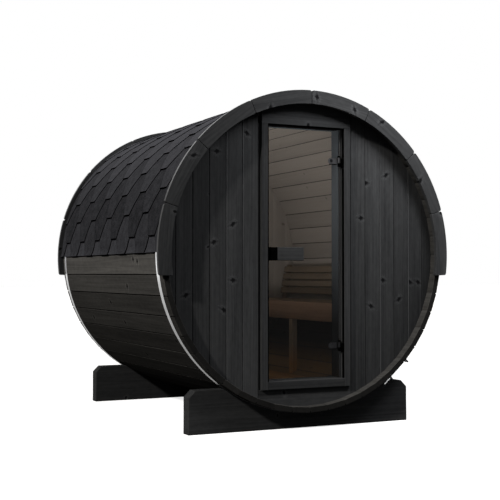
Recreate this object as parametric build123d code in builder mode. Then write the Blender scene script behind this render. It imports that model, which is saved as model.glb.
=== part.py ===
from build123d import *
import os
from math import cos, degrees, radians, sin, tan

# Barrel sauna: a horizontal barrel of staves on two cradles, with a recessed
# front wall and a glass door. Millimetres. X runs to the right, Y from the
# front to the back and Z up. The origin lies on the ground, in the middle.

# Driving dimensions of the barrel
LENGTH = 2190.0  # over the front and rear trims
STAVE_R = 996.0  # outer radius of the staves
STAVE_T = 38.0
SEGMENTS = 12  # arcs of the shell, each of four staves
CROZE_DEPTH = 8.0  # groove in the staves that holds an end wall
WALL_T = 42.0
WALL_RECESS = 60.0  # from the stave ends to the outer face of an end wall

# Driving dimensions of the trims and the roof
TRIM_T = 27.0
TRIM_WIDTH = 87.0
TRIM_LIP = 34.0  # how far the trims stand out beyond the staves
TRIM_BOARDS = 4  # on each side of the top joint
TRIM_PITCH = 24.45  # degrees for each board
TRIM_TAIL = 3.0  # degrees that the lowest board runs on before its level cut
TRIM_DROP = 136.0  # from the axis down to the level cut
TRIM_GAP = 1.0  # open joint between two boards
SHINGLE_T = 10.0
ROOF_ARC = 89.75  # degrees from the top joint to the eaves

# Driving dimensions of the steel bands
BAND_T = 1.5
BAND_WIDTH = 42.0
BAND_SETBACK = 50.0  # from the stave ends to the band
LUG_T = 5.0
LUG_HEIGHT = 52.0
LUG_UPPER = 132.5  # degrees from the top, clockwise as seen from the front
LUG_LOWER = 141.5
ROD_R = 4.0
ROD_STANDOFF = 40.0  # from the staves to the rod's axis
ROD_END = 24.0  # length of the rod outside each lug
ROD_CLEARANCE = 0.3
NUT_R = 8.0
NUT_T = 7.0
NUT_SEAT = 0.8  # between the lug's face and the square face of the nut

# Driving dimensions of the cradles
CRADLE_T = 88.0
CRADLE_HALF = 784.0
CRADLE_WEB = 104.0  # from the ground up to the barrel
CRADLE_RISE = 163.0  # from the barrel's lowest line up to the cradle's shoulders
CRADLE_CHAMFER = 43.0
CRADLE_SETBACK = 95.0  # from the stave ends to the outer face of a cradle

# Driving dimensions of the doorway and its frame
DOORWAY_HALF = 273.0
STILE_LIP = 46.0  # width of a stile as seen from the front
FRAME_PROUD = 19.0  # from the wall's face to the frame's face
FRAME_DEPTH = 162.0
LIP_DEPTH = 26.0  # thickness of the lip in front of the stile's flange
FLANGE_WIDTH = 13.0  # from the lip out to the wall's cut edge
HEADER_H = 146.0  # from the doorway up to the staves
SILL_BOARD_H = 112.0  # from the staves up to the frame
SILL_RAIL_H = 51.0
HEAD_H = 45.0

# Driving dimensions of the door and its fittings
GLASS_T = 8.0
GLASS_SETBACK = 45.0  # from the frame's face to the glass
GAP_HINGE = 5.0
GAP_LATCH = 6.0
GAP_TOP = 5.0
GAP_BOTTOM = 6.0
PIN_INSET = 20.0  # from the jamb's inner face to the pin's axis
PIN_FRONT = 11.0  # from the glass forward to the pin's axis
PIN_R = 4.0
PIN_CLEARANCE = 0.08
KNUCKLE_R = 9.0
KNUCKLE_GAP = 2.0  # between the leaf's knuckle and the jamb's knuckle
HINGE_TOP_INSET = 222.0  # from the doorway's top to the middle of the jamb plate
HINGE_BOTTOM_INSET = 195.0
PLATE_HALF = 32.0  # half height of a jamb plate
PLATE_T = 3.0
ARM_T = 8.0
LEAF_T = 5.0
LEAF_LENGTH = 95.0  # from the jamb to the rounded end of a leaf
LEAF_BELOW = 10.0  # from the middle of the jamb plate
LEAF_ABOVE = 36.0
LEAF_RELIEF = 3.0  # between a leaf and the jamb's knuckle
HANDLE_H = 84.0
BLOCK_INSET = 23.0  # from the jamb to the handle's block
BLOCK_WIDTH = 41.0
HANDLE_DEPTH = 43.0  # from the glass to the front of the handle
GRIP_LENGTH = 187.0
GRIP_T = 18.0
SPACER_R = 9.0
SPACER_INSET = 22.0  # from the grip's free end to the spacer's axis

# Driving dimensions of the floor and the bench
FLOOR_RISE = 98.0  # from the barrel's lowest inner line up to the floor
FLOOR_T = 28.0
BENCH_DROP = 325.0  # from the barrel's axis down to the seat
BENCH_CLEAR = 68.0  # from the door frame's flange to the apron's face
BENCH_SETOFF = 110.0  # from the foot of the backrest to the barrel's widest line
SEAT_T = 28.0
APRON_T = 24.0
APRON_H = 130.0
BEARER = 45.0
LEG_X = 42.0
LEG_Y = 50.0
BACK_LEAN = 10.5  # degrees
SLAT_T = 22.0
SLAT_WIDTH = 52.0
SLAT_PITCH = 58.0
SLAT_COUNT = 4
SLAT_FOOT = 66.0  # from the bearers to the lowest slat
POST_T = 26.0
POST_Y = 45.0

# Worked out from the above; heights are above the barrel's axis
AXIS_H = CRADLE_WEB + STAVE_R
AXIS = (0.0, AXIS_H)
STAVE_START = TRIM_T
TRIM_R = STAVE_R + TRIM_LIP
INNER_R = STAVE_R - STAVE_T
CROZE_R = INNER_R + CROZE_DEPTH
WALL_FACE = TRIM_T + WALL_RECESS
WALL_BACK = WALL_FACE + WALL_T
FRAME_FACE = WALL_FACE - FRAME_PROUD
FRAME_BACK = FRAME_FACE + FRAME_DEPTH
FLANGE_FACE = FRAME_FACE + LIP_DEPTH
LIP_HALF = DOORWAY_HALF + STILE_LIP
BAY_HALF = LIP_HALF + FLANGE_WIDTH
DOORWAY_TOP = INNER_R - HEADER_H
FRAME_FOOT = SILL_BOARD_H - INNER_R
DOORWAY_BOTTOM = FRAME_FOOT + SILL_RAIL_H
GLASS_FACE = FRAME_FACE + GLASS_SETBACK
PIN_X = DOORWAY_HALF - PIN_INSET
PIN_DEPTH = GLASS_FACE - PIN_FRONT
CABIN_LENGTH = LENGTH - 2 * WALL_BACK
MIDDLE = LENGTH / 2
SHINGLE_R = STAVE_R + BAND_T
FLOOR_TOP = FLOOR_RISE - INNER_R
BENCH_TOP = -BENCH_DROP
LEG_TOP = BENCH_TOP - SEAT_T - BEARER
BENCH_BACK = INNER_R - BENCH_SETOFF
BENCH_FRONT = BAY_HALF + BENCH_CLEAR

os.makedirs("parts", exist_ok=True)


def upright(depth):
    """The plane at a depth behind the front trims, with local Y upwards."""
    return Plane.XZ.offset(MIDDLE - depth)


def from_axis(height):
    """A level plane at a height above the barrel's axis."""
    return Plane.XY.offset(AXIS_H + height)


def on_rim(radius, angle):
    """The point of the upright plane at an angle clockwise from the top."""
    turn = radians(angle)
    return (radius * sin(turn), AXIS_H + radius * cos(turn))


def arc_piece(r_in, r_out, depth, length, arcs):
    """Arcs of a round wall, each from its start angle over its sweep, clockwise from the top."""
    with BuildPart() as piece:
        with BuildSketch(upright(depth)):
            for start, sweep in arcs:
                with BuildLine():
                    outer = CenterArc(AXIS, r_out, 90 - start - sweep, sweep)
                    inner = CenterArc(AXIS, r_in, 90 - start - sweep, sweep)
                    Line(outer @ 0, inner @ 0)
                    Line(outer @ 1, inner @ 1)
                make_face()
        extrude(amount=-length)
    return piece.part


# Shell: arcs of staves with a groove at each end for the end walls
CROZES = (WALL_FACE, LENGTH - WALL_BACK)
SEGMENT_SWEEP = 360 / SEGMENTS
for number in range(SEGMENTS):
    with BuildPart() as staves:
        add(arc_piece(INNER_R, STAVE_R, STAVE_START, LENGTH - 2 * STAVE_START,
                      [(number * SEGMENT_SWEEP, SEGMENT_SWEEP)]))
        for croze in CROZES:
            with BuildSketch(upright(croze)):
                with Locations(AXIS):
                    Circle(CROZE_R)
                    Circle(INNER_R - CROZE_DEPTH, mode=Mode.SUBTRACT)
            extrude(amount=-WALL_T, mode=Mode.SUBTRACT)
    name = f"staves_{number + 1:02d}"
    staves.part.label = name
    export_step(staves.part, f"parts/{name}.step")

# Trims: four curved boards on each side of each end, cut level at the bottom
for end, depth in (("front", 0.0), ("rear", LENGTH - TRIM_T)):
    for side, sign in (("left", -1), ("right", 1)):
        joint = degrees(TRIM_GAP / 2 / TRIM_R)
        arcs = []
        for board in range(TRIM_BOARDS):
            low = board * TRIM_PITCH + joint
            high = (board + 1) * TRIM_PITCH - joint
            if board == TRIM_BOARDS - 1:
                high += TRIM_TAIL
            arcs.append((low if sign > 0 else -high, high - low))
        with BuildPart() as trim:
            add(arc_piece(TRIM_R - TRIM_WIDTH, TRIM_R, depth, TRIM_T, arcs))
            split(bisect_by=from_axis(-TRIM_DROP), keep=Keep.TOP)
        name = f"{end}_trim_{side}"
        trim.part.label = name
        export_step(trim.part, f"parts/{name}.step")

# Roof: a skin of shingles on each side, over the bands
for side, start in (("left", -ROOF_ARC), ("right", 0.0)):
    with BuildPart() as shingles:
        add(arc_piece(SHINGLE_R, SHINGLE_R + SHINGLE_T, TRIM_T, LENGTH - 2 * TRIM_T,
                      [(start, ROOF_ARC)]))
    name = f"roof_shingles_{side}"
    shingles.part.label = name
    export_step(shingles.part, f"parts/{name}.step")

# Bands: an open steel hoop with a lug at each end, and a threaded rod that pulls the lugs together
BAND_DEPTHS = {
    "front": STAVE_START + BAND_SETBACK,
    "rear": LENGTH - STAVE_START - BAND_SETBACK - BAND_WIDTH,
}
ROD_CIRCLE = STAVE_R + ROD_STANDOFF
for end, depth in BAND_DEPTHS.items():
    upper = on_rim(ROD_CIRCLE, LUG_UPPER)
    lower = on_rim(ROD_CIRCLE, LUG_LOWER)
    across = depth + BAND_WIDTH / 2 - MIDDLE
    start_point = Vector(upper[0], across, upper[1])
    run = Vector(lower[0], across, lower[1]) - start_point
    rod_plane = Plane(origin=start_point, x_dir=(0, 1, 0), z_dir=run)

    with BuildPart() as band:
        add(arc_piece(STAVE_R, STAVE_R + BAND_T, depth, BAND_WIDTH,
                      [(LUG_LOWER, 360 - LUG_LOWER + LUG_UPPER)]))
        with BuildSketch(upright(depth)):
            for angle in (LUG_UPPER, LUG_LOWER):
                with Locations(Location(on_rim(STAVE_R + LUG_HEIGHT / 2, angle), -angle)):
                    Rectangle(LUG_T, LUG_HEIGHT)
        extrude(amount=-BAND_WIDTH)
        with BuildSketch(rod_plane.offset(-LUG_T)):
            Circle(ROD_R + ROD_CLEARANCE)
        extrude(amount=run.length + 2 * LUG_T, mode=Mode.SUBTRACT)
    name = f"{end}_band"
    band.part.label = name
    export_step(band.part, f"parts/{name}.step")

    with BuildPart() as rod:
        with BuildSketch(rod_plane.offset(-ROD_END)):
            Circle(ROD_R)
        extrude(amount=run.length + 2 * ROD_END)
        for seat in (-LUG_T / 2 - NUT_SEAT - NUT_T, run.length + LUG_T / 2 + NUT_SEAT):
            with BuildSketch(rod_plane.offset(seat)):
                RegularPolygon(NUT_R, 6)
            extrude(amount=NUT_T)
    name = f"{end}_band_rod"
    rod.part.label = name
    export_step(rod.part, f"parts/{name}.step")

# Cradles: planks on edge with a round seat for the barrel
CRADLE_DEPTHS = {
    "front": STAVE_START + CRADLE_SETBACK,
    "rear": LENGTH - STAVE_START - CRADLE_SETBACK - CRADLE_T,
}
for end, depth in CRADLE_DEPTHS.items():
    with BuildPart() as cradle:
        with BuildSketch(upright(depth)) as outline:
            Rectangle(2 * CRADLE_HALF, CRADLE_WEB + CRADLE_RISE, align=(Align.CENTER, Align.MIN))
            chamfer(outline.vertices().group_by(Axis.Y)[-1], CRADLE_CHAMFER)
            with Locations(AXIS):
                Circle(STAVE_R, mode=Mode.SUBTRACT)
        extrude(amount=-CRADLE_T)
    name = f"cradle_{end}"
    cradle.part.label = name
    export_step(cradle.part, f"parts/{name}.step")

# End walls: the front wall is split beside, over and under the doorway
PANEL_WIDTH = CROZE_R - BAY_HALF
for side, sign in (("left", -1), ("right", 1)):
    with BuildPart() as panel:
        with BuildSketch(upright(WALL_FACE)):
            with Locations(AXIS):
                Circle(CROZE_R)
            with Locations((sign * (BAY_HALF + PANEL_WIDTH / 2), AXIS_H)):
                Rectangle(PANEL_WIDTH, 2 * CROZE_R, mode=Mode.INTERSECT)
        extrude(amount=-WALL_T)
    name = f"front_wall_{side}"
    panel.part.label = name
    export_step(panel.part, f"parts/{name}.step")

with BuildPart() as front_header:
    for radius, half, near, far in (
        (INNER_R, LIP_HALF, FRAME_FACE, FLANGE_FACE),
        (CROZE_R, BAY_HALF, FLANGE_FACE, WALL_BACK),
    ):
        with BuildSketch(upright(near)):
            with Locations(AXIS):
                Circle(radius)
            with Locations((0, AXIS_H + DOORWAY_TOP)):
                Rectangle(2 * half, radius, align=(Align.CENTER, Align.MIN), mode=Mode.INTERSECT)
        extrude(amount=near - far)
    with BuildSketch(upright(WALL_BACK)):
        with Locations((0, AXIS_H + DOORWAY_TOP)):
            Rectangle(2 * BAY_HALF, HEAD_H, align=(Align.CENTER, Align.MIN))
    extrude(amount=WALL_BACK - FRAME_BACK)
front_header.part.label = "front_header"
export_step(front_header.part, "parts/front_header.step")

with BuildPart() as front_sill_board:
    with BuildSketch(upright(WALL_FACE)):
        with Locations(AXIS):
            Circle(CROZE_R)
        with Locations((0, AXIS_H + FRAME_FOOT)):
            Rectangle(2 * BAY_HALF, CROZE_R, align=(Align.CENTER, Align.MAX), mode=Mode.INTERSECT)
    extrude(amount=-WALL_T)
front_sill_board.part.label = "front_sill_board"
export_step(front_sill_board.part, "parts/front_sill_board.step")

with BuildPart() as rear_wall:
    with BuildSketch(upright(LENGTH - WALL_BACK)):
        with Locations(AXIS):
            Circle(CROZE_R)
    extrude(amount=-WALL_T)
rear_wall.part.label = "rear_wall"
export_step(rear_wall.part, "parts/rear_wall.step")

# Door frame: two stiles with a flange that fills the gap in the wall, and a sill rail
FLANGE_DEPTH = FRAME_BACK - FLANGE_FACE
for side, sign in (("left", -1), ("right", 1)):
    with BuildPart() as stile:
        with BuildSketch(from_axis(FRAME_FOOT)):
            with Locations((sign * (DOORWAY_HALF + LIP_HALF) / 2, FRAME_FACE + FRAME_DEPTH / 2 - MIDDLE)):
                Rectangle(STILE_LIP, FRAME_DEPTH)
            with Locations((sign * (LIP_HALF + BAY_HALF) / 2, FLANGE_FACE + FLANGE_DEPTH / 2 - MIDDLE)):
                Rectangle(BAY_HALF - LIP_HALF, FLANGE_DEPTH)
        extrude(amount=DOORWAY_TOP - FRAME_FOOT)
    name = f"frame_stile_{side}"
    stile.part.label = name
    export_step(stile.part, f"parts/{name}.step")

with BuildPart() as frame_sill:
    with BuildSketch(upright(FRAME_FACE)):
        with Locations((0, AXIS_H + FRAME_FOOT)):
            Rectangle(2 * DOORWAY_HALF, SILL_RAIL_H, align=(Align.CENTER, Align.MIN))
    extrude(amount=-FRAME_DEPTH)
frame_sill.part.label = "frame_sill"
export_step(frame_sill.part, "parts/frame_sill.step")

# Door: one sheet of glass on two hinges
GLASS_LEFT = GAP_LATCH - DOORWAY_HALF
GLASS_RIGHT = DOORWAY_HALF - GAP_HINGE
GLASS_BOTTOM = DOORWAY_BOTTOM + GAP_BOTTOM
with BuildPart() as glass_door:
    with BuildSketch(upright(GLASS_FACE)):
        with Locations((GLASS_LEFT, AXIS_H + GLASS_BOTTOM)):
            Rectangle(GLASS_RIGHT - GLASS_LEFT, DOORWAY_TOP - GAP_TOP - GLASS_BOTTOM,
                      align=(Align.MIN, Align.MIN))
    extrude(amount=-GLASS_T)
glass_door.part.label = "glass_door"
export_step(glass_door.part, "parts/glass_door.step")

HINGES = (DOORWAY_TOP - HINGE_TOP_INSET, DOORWAY_BOTTOM + HINGE_BOTTOM_INSET)
PIN_Y = PIN_DEPTH - MIDDLE
LEAF_HEIGHT = LEAF_ABOVE + LEAF_BELOW
LEAF_LEFT = DOORWAY_HALF - LEAF_LENGTH
LEAF_RIGHT = PIN_X - KNUCKLE_R - LEAF_RELIEF
with BuildPart() as door_hinge_leaves:
    for middle in HINGES:
        with BuildSketch(upright(GLASS_FACE - LEAF_T)):
            with Locations((LEAF_LEFT + LEAF_HEIGHT / 2, AXIS_H + middle + (LEAF_ABOVE - LEAF_BELOW) / 2)):
                Circle(LEAF_HEIGHT / 2)
                Rectangle(LEAF_RIGHT - LEAF_LEFT - LEAF_HEIGHT / 2, LEAF_HEIGHT,
                          align=(Align.MIN, Align.CENTER))
            with Locations((LEAF_RIGHT, AXIS_H + middle + KNUCKLE_GAP)):
                Rectangle(PIN_X - LEAF_RIGHT, LEAF_ABOVE - KNUCKLE_GAP, align=(Align.MIN, Align.MIN))
        extrude(amount=-LEAF_T)
        with BuildSketch(from_axis(middle + KNUCKLE_GAP)):
            with Locations((PIN_X, PIN_Y)):
                Circle(KNUCKLE_R)
        extrude(amount=LEAF_ABOVE - KNUCKLE_GAP)
        with BuildSketch(from_axis(middle)):
            with Locations((PIN_X, PIN_Y)):
                Circle(PIN_R + PIN_CLEARANCE)
        extrude(amount=LEAF_ABOVE, mode=Mode.SUBTRACT)
door_hinge_leaves.part.label = "door_hinge_leaves"
export_step(door_hinge_leaves.part, "parts/door_hinge_leaves.step")

PLATE_X = DOORWAY_HALF - PLATE_T
with BuildPart() as jamb_hinge_plates:
    for middle in HINGES:
        with BuildSketch(from_axis(middle - PLATE_HALF)):
            with Locations((PLATE_X, FRAME_FACE - MIDDLE)):
                Rectangle(PLATE_T, LIP_DEPTH + ARM_T, align=(Align.MIN, Align.MIN))
        extrude(amount=2 * PLATE_HALF)
        with BuildSketch(from_axis(middle - PLATE_HALF)):
            with Locations((PIN_X, PIN_Y)):
                Circle(KNUCKLE_R)
                Rectangle(PLATE_X - PIN_X, ARM_T, align=(Align.MIN, Align.MAX))
        extrude(amount=PLATE_HALF)
        with BuildSketch(from_axis(middle)):
            with Locations((PIN_X, PIN_Y)):
                Circle(PIN_R)
        extrude(amount=LEAF_ABOVE)
jamb_hinge_plates.part.label = "jamb_hinge_plates"
export_step(jamb_hinge_plates.part, "parts/jamb_hinge_plates.step")

# Handle: a block at the latch edge and a level grip board held off the glass
BLOCK_LEFT = BLOCK_INSET - DOORWAY_HALF
GRIP_LEFT = BLOCK_LEFT + BLOCK_WIDTH
HANDLE_FACE = GLASS_FACE - HANDLE_DEPTH
with BuildPart() as handle_block:
    with BuildSketch(upright(HANDLE_FACE)):
        with Locations((BLOCK_LEFT, AXIS_H)):
            Rectangle(BLOCK_WIDTH, HANDLE_H, align=(Align.MIN, Align.CENTER))
    extrude(amount=-HANDLE_DEPTH)
handle_block.part.label = "handle_block"
export_step(handle_block.part, "parts/handle_block.step")

with BuildPart() as handle_grip:
    with BuildSketch(upright(HANDLE_FACE)):
        with Locations((GRIP_LEFT, AXIS_H)):
            Rectangle(GRIP_LENGTH, HANDLE_H, align=(Align.MIN, Align.CENTER))
    extrude(amount=-GRIP_T)
    with BuildSketch(upright(HANDLE_FACE + GRIP_T)):
        with Locations((GRIP_LEFT + GRIP_LENGTH - SPACER_INSET, AXIS_H)):
            Circle(SPACER_R)
    extrude(amount=GRIP_T - HANDLE_DEPTH)
handle_grip.part.label = "handle_grip"
export_step(handle_grip.part, "parts/handle_grip.step")

# Floor: laid level across the bottom of the shell
with BuildPart() as floor_boards:
    with BuildSketch(upright(WALL_BACK)):
        with Locations(AXIS):
            Circle(INNER_R)
        with Locations((0, AXIS_H + FLOOR_TOP)):
            Rectangle(2 * INNER_R, FLOOR_T, align=(Align.CENTER, Align.MAX), mode=Mode.INTERSECT)
    extrude(amount=-CABIN_LENGTH)
floor_boards.part.label = "floor_boards"
export_step(floor_boards.part, "parts/floor_boards.step")

# Bench: an apron, a seat on three bearers, a middle leg and a leaning backrest
SEAT_FRONT = BENCH_FRONT + APRON_T
with BuildPart() as bench_apron:
    with BuildSketch(upright(WALL_BACK)):
        with Locations((BENCH_FRONT, AXIS_H + BENCH_TOP)):
            Rectangle(APRON_T, APRON_H, align=(Align.MIN, Align.MAX))
    extrude(amount=-CABIN_LENGTH)
bench_apron.part.label = "bench_apron"
export_step(bench_apron.part, "parts/bench_apron.step")

with BuildPart() as bench_seat:
    with BuildSketch(upright(WALL_BACK)):
        with Locations((SEAT_FRONT, AXIS_H + BENCH_TOP)):
            Rectangle(BENCH_BACK - SEAT_FRONT, SEAT_T, align=(Align.MIN, Align.MAX))
    extrude(amount=-CABIN_LENGTH)
bench_seat.part.label = "bench_seat"
export_step(bench_seat.part, "parts/bench_seat.step")

BEARER_DEPTHS = (WALL_BACK, MIDDLE - BEARER / 2, LENGTH - WALL_BACK - BEARER)
with BuildPart() as bench_bearers:
    for depth in BEARER_DEPTHS:
        with BuildSketch(upright(depth)):
            with Locations(AXIS):
                Circle(INNER_R)
            with Locations((SEAT_FRONT, AXIS_H + BENCH_TOP - SEAT_T)):
                Rectangle(INNER_R, BEARER, align=(Align.MIN, Align.MAX), mode=Mode.INTERSECT)
        extrude(amount=-BEARER)
bench_bearers.part.label = "bench_bearers"
export_step(bench_bearers.part, "parts/bench_bearers.step")

with BuildPart() as bench_leg:
    with BuildSketch(upright(MIDDLE - LEG_Y / 2)):
        with Locations(AXIS):
            Circle(INNER_R)
        with Locations((SEAT_FRONT, AXIS_H + LEG_TOP)):
            Rectangle(LEG_X, LEG_TOP - FLOOR_TOP, align=(Align.MIN, Align.MAX), mode=Mode.INTERSECT)
    extrude(amount=-LEG_Y)
bench_leg.part.label = "bench_leg"
export_step(bench_leg.part, "parts/bench_leg.step")


def leaning(depth):
    """The plane across the bench at a depth, with local X up the posts from the bearers."""
    lean = radians(BACK_LEAN)
    return Plane(origin=(BENCH_BACK, depth - MIDDLE, AXIS_H + BENCH_TOP - SEAT_T),
                 x_dir=(sin(lean), 0, cos(lean)), z_dir=(0, 1, 0))


BACK_HEIGHT = SLAT_FOOT + (SLAT_COUNT - 1) * SLAT_PITCH + SLAT_WIDTH
with BuildPart() as bench_backrest:
    with BuildSketch(leaning(WALL_BACK)):
        for slat in range(SLAT_COUNT):
            with Locations((SLAT_FOOT + slat * SLAT_PITCH, 0)):
                Rectangle(SLAT_WIDTH, SLAT_T, align=(Align.MIN, Align.MAX))
    extrude(amount=CABIN_LENGTH)
bench_backrest.part.label = "bench_backrest"
export_step(bench_backrest.part, "parts/bench_backrest.step")

POST_DEPTHS = (WALL_BACK, MIDDLE - POST_Y / 2, LENGTH - WALL_BACK - POST_Y)
with BuildPart() as backrest_posts:
    for depth in POST_DEPTHS:
        with BuildSketch(leaning(depth)):
            with Locations((-POST_T * tan(radians(BACK_LEAN)), 0)):
                Rectangle(BACK_HEIGHT + POST_T, POST_T, align=(Align.MIN, Align.MIN))
        extrude(amount=POST_Y)
    split(bisect_by=from_axis(BENCH_TOP - SEAT_T), keep=Keep.TOP)
backrest_posts.part.label = "backrest_posts"
export_step(backrest_posts.part, "parts/backrest_posts.step")
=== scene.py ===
"""Barrel sauna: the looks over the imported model, laid out as a Blender add-on.

Metres. X runs to the right, Y from the front to the back and Z up. Angles round
the barrel are counted clockwise from the top, as seen from the front.
"""

import bpy
import numpy as np
from bpy.props import FloatProperty, FloatVectorProperty, IntProperty, PointerProperty
from math import radians
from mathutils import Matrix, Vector


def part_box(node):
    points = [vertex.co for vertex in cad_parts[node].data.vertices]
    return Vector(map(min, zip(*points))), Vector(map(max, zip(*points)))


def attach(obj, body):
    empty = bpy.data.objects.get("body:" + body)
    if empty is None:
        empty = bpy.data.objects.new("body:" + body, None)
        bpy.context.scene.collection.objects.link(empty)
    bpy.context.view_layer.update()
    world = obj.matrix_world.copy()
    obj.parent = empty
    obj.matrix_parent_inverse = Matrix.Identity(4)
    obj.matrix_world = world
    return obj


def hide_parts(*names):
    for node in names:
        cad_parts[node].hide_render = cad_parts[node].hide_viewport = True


bl_info = {
    "name": "Barrel sauna",
    "version": (1, 0, 0),
    "blender": (4, 5, 0),
    "location": "View3D > Sidebar > Sauna",
    "description": "Builds a stave barrel sauna with a glass door over its packed model",
    "category": "Object",
}

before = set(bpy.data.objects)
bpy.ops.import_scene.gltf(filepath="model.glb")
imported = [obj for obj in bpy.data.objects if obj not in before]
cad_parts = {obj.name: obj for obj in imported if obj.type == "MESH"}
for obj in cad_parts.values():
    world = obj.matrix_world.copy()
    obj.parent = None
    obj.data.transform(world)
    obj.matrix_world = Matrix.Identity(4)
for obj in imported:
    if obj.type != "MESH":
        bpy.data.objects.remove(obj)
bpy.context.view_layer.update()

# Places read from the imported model
SHELL_LOW, SHELL_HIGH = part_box("staves_07")[0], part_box("staves_01")[1]
AXIS = (SHELL_LOW.z + SHELL_HIGH.z) / 2
STAVE_R = SHELL_HIGH.z - AXIS
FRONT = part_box("front_trim_left")[0].y
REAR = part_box("rear_trim_left")[1].y
TRIM_T = REAR - SHELL_HIGH.y
TRIM_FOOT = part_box("front_trim_left")[0].z - AXIS
TRIM_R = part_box("front_trim_left")[1].z - AXIS
WALL_LOW, WALL_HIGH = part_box("front_wall_right")
REAR_WALL_LOW, REAR_WALL_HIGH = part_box("rear_wall")
STILE_LOW, STILE_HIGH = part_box("frame_stile_right")
SILL_LOW, SILL_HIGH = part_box("frame_sill")
GLASS_LOW, GLASS_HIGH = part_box("glass_door")
REAR_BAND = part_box("rear_band")[1]
FLOOR_LOW, FLOOR_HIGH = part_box("floor_boards")
APRON_LOW, APRON_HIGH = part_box("bench_apron")
SEAT_LOW, SEAT_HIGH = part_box("bench_seat")
DOORWAY, BAY = SILL_HIGH.x, STILE_HIGH.x

# Places that the boxes don't give
TRIM_IN, LINING_R, CROZE_R = 0.943, 0.958, 0.966
ROOF_R, ROOF_TOP_R, ROOF_ARC = 0.9975, 1.0075, radians(89.75)
LIP, DOOR_TOP = 0.319, AXIS + 0.812
PIN_X, PIN_Y, HINGES = 0.253, FRONT + 0.102, (AXIS + 0.590, AXIS - 0.600)
BAND_SHIFT = 0.01

# Knots of the front wall as x and height above the axis, and the joints beside which a pale strip is a
# painted highlight of the lit bevel
WALL_KNOTS = (
    (-0.507, 0.181), (-0.818, -0.252), (-0.568, -0.345), (0.45, 0.469), (0.605, 0.527), (0.411, 0.239),
    (0.579, -0.166), (0.792, -0.18), (0.856, -0.18), (0.704, -0.292), (0.486, -0.335), (-0.412, 0.746),
    (-0.615, 0.624), (-0.635, 0.069), (-0.507, -0.163),
)
LIT_SEAM_EDGES = (-0.5525, -0.442, 0.553, 0.774)
# Tones of the front wall's boards from the doorway outwards: their own tones together with painted shade that
# darkens the outer ones towards the ring. Painted shade is also added at their lower and upper ends,
# darkening the right wall lower down and the left one higher up
BOARD_TONE_AND_SHADE = {
    "left": (0.0, -0.12, -0.48, -0.48, -0.6, -0.72),
    "right": (0.36, 0.36, 0.12, 0.0, -0.36, -0.72),
}
WALL_PAINTED_FADES = {"left": (0.4, -0.2), "right": (-0.8, 0.15)}
WALL_GAPS = {"left": 0.0022, "right": 0.0015}
# Tones and knots of the staves at the left. The tones are the staves' own, together with painted light that
# lifts the lowest ones; the knots give stave from the top, place across it and y
STAVE_TONE_AND_LIGHT = {28: 1.4, 29: 0.7, 30: -0.2, 31: -0.85, 32: 0.1, 33: 0.1, 34: 1.1, 35: 2.6}
STAVE_KNOTS = (
    (35, 0.034, -0.553), (35, 0.02, -0.627), (34, -0.01, -0.378), (33, 0.001, 0.056), (32, -0.004, 0.603),
    (32, -0.013, -0.086), (30, -0.021, -0.101),
)
# Tones of the trims' boards from the top down: their own tones together with painted light that makes the
# right ones lighter and the left ones darker. Also their knots: board, place across and along
TRIM_TONE_AND_LIGHT = {"left": (-0.2, -0.1, -0.25, -0.35), "right": (0.3, 0.1, 0.3, 0.35)}
TRIM_KNOTS = {
    "left": ((0, 0.942, 0.096), (2, 0.985, -0.12)),
    "right": ((0, 0.972, 0.109), (0, 0.975, -0.174), (1, 1.001, -0.097), (2, 0.954, -0.036)),
}
# Painted light on the shingles' rows from the eaves up, lighter towards the ridge, and the painted shade of
# an open joint, which darkens the shingles' tips and sides and the staves' slots
ROW_SHADING = {0: -0.3, 1: -0.65, 2: -0.4, 3: 0.0, 4: 0.55, 5: 1.0, 7: 1.9}
JOINT_SHADE = -8.0

STAVE_TINT = (1.05, 1.0, 0.92)
# The apron's wood is warmer than the bench's, and darker with painted shade
APRON_TINT_AND_SHADE = (0.72, 0.59, 0.54)
# Colour of the painted light on the bare wood at the bottom by the door
DOOR_LIGHT = (0.62, 0.43, 0.23)
# Painted shade on the bare wood: heights above the axis between which it darkens downwards, what is left of
# its colour at the lower one, and the level of the painted light that brightens it again at the bottom by the
# door
WALL_SHADE = (-0.5, -0.25, 0.12, 0.68)
FLOOR_SHADE = (-0.55, -0.25, 0.85, 1.8)
APRON_SHADE = (-0.55, -0.25, 0.42, 1.8)
REVEAL_SHADE = (-0.45, 0.72, 0.05, 0.08)
# Painted shade on the bands, which stands in for the dark ground in their reflection: share of the height
# from their foot to the axis, and level
BAND_SHADE = (
    (0.0, 0.02), (0.06, 0.025), (0.12, 0.085), (0.24, 0.14), (0.38, 0.21), (0.52, 0.32),
    (0.67, 0.43), (0.77, 0.52), (0.87, 0.85), (0.93, 1.0), (1.0, 1.0),
)
# The usual finish, how many knots a skin can have placed, and the angle beyond which edges turn sharp
STAINED = "black stained wood"
PLACED_KNOTS = 3
SHARP_ANGLE = radians(28.0)

CAMERA_LENS, CAMERA_SENSOR = 75.372, 36.0
CAMERA_PLACE = (-3.1933, -6.838, 0.9794)
CAMERA_TURN = (radians(91.266), 0.0, radians(-25.667))


# Geometry

def rim(radius, angle):
    """x = r sin(a) and z = axis + r cos(a), for an angle a clockwise from the top."""
    return radius * np.sin(angle), AXIS + radius * np.cos(angle)


def arc_z(x, radius):
    """z above the axis of the circle at x: the square root of r squared less x squared."""
    return np.sqrt(np.maximum(radius ** 2 - np.square(x), 0.0))


def pairs(values):
    """Each value with the one after it."""
    return list(zip(values[:-1], values[1:]))


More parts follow.
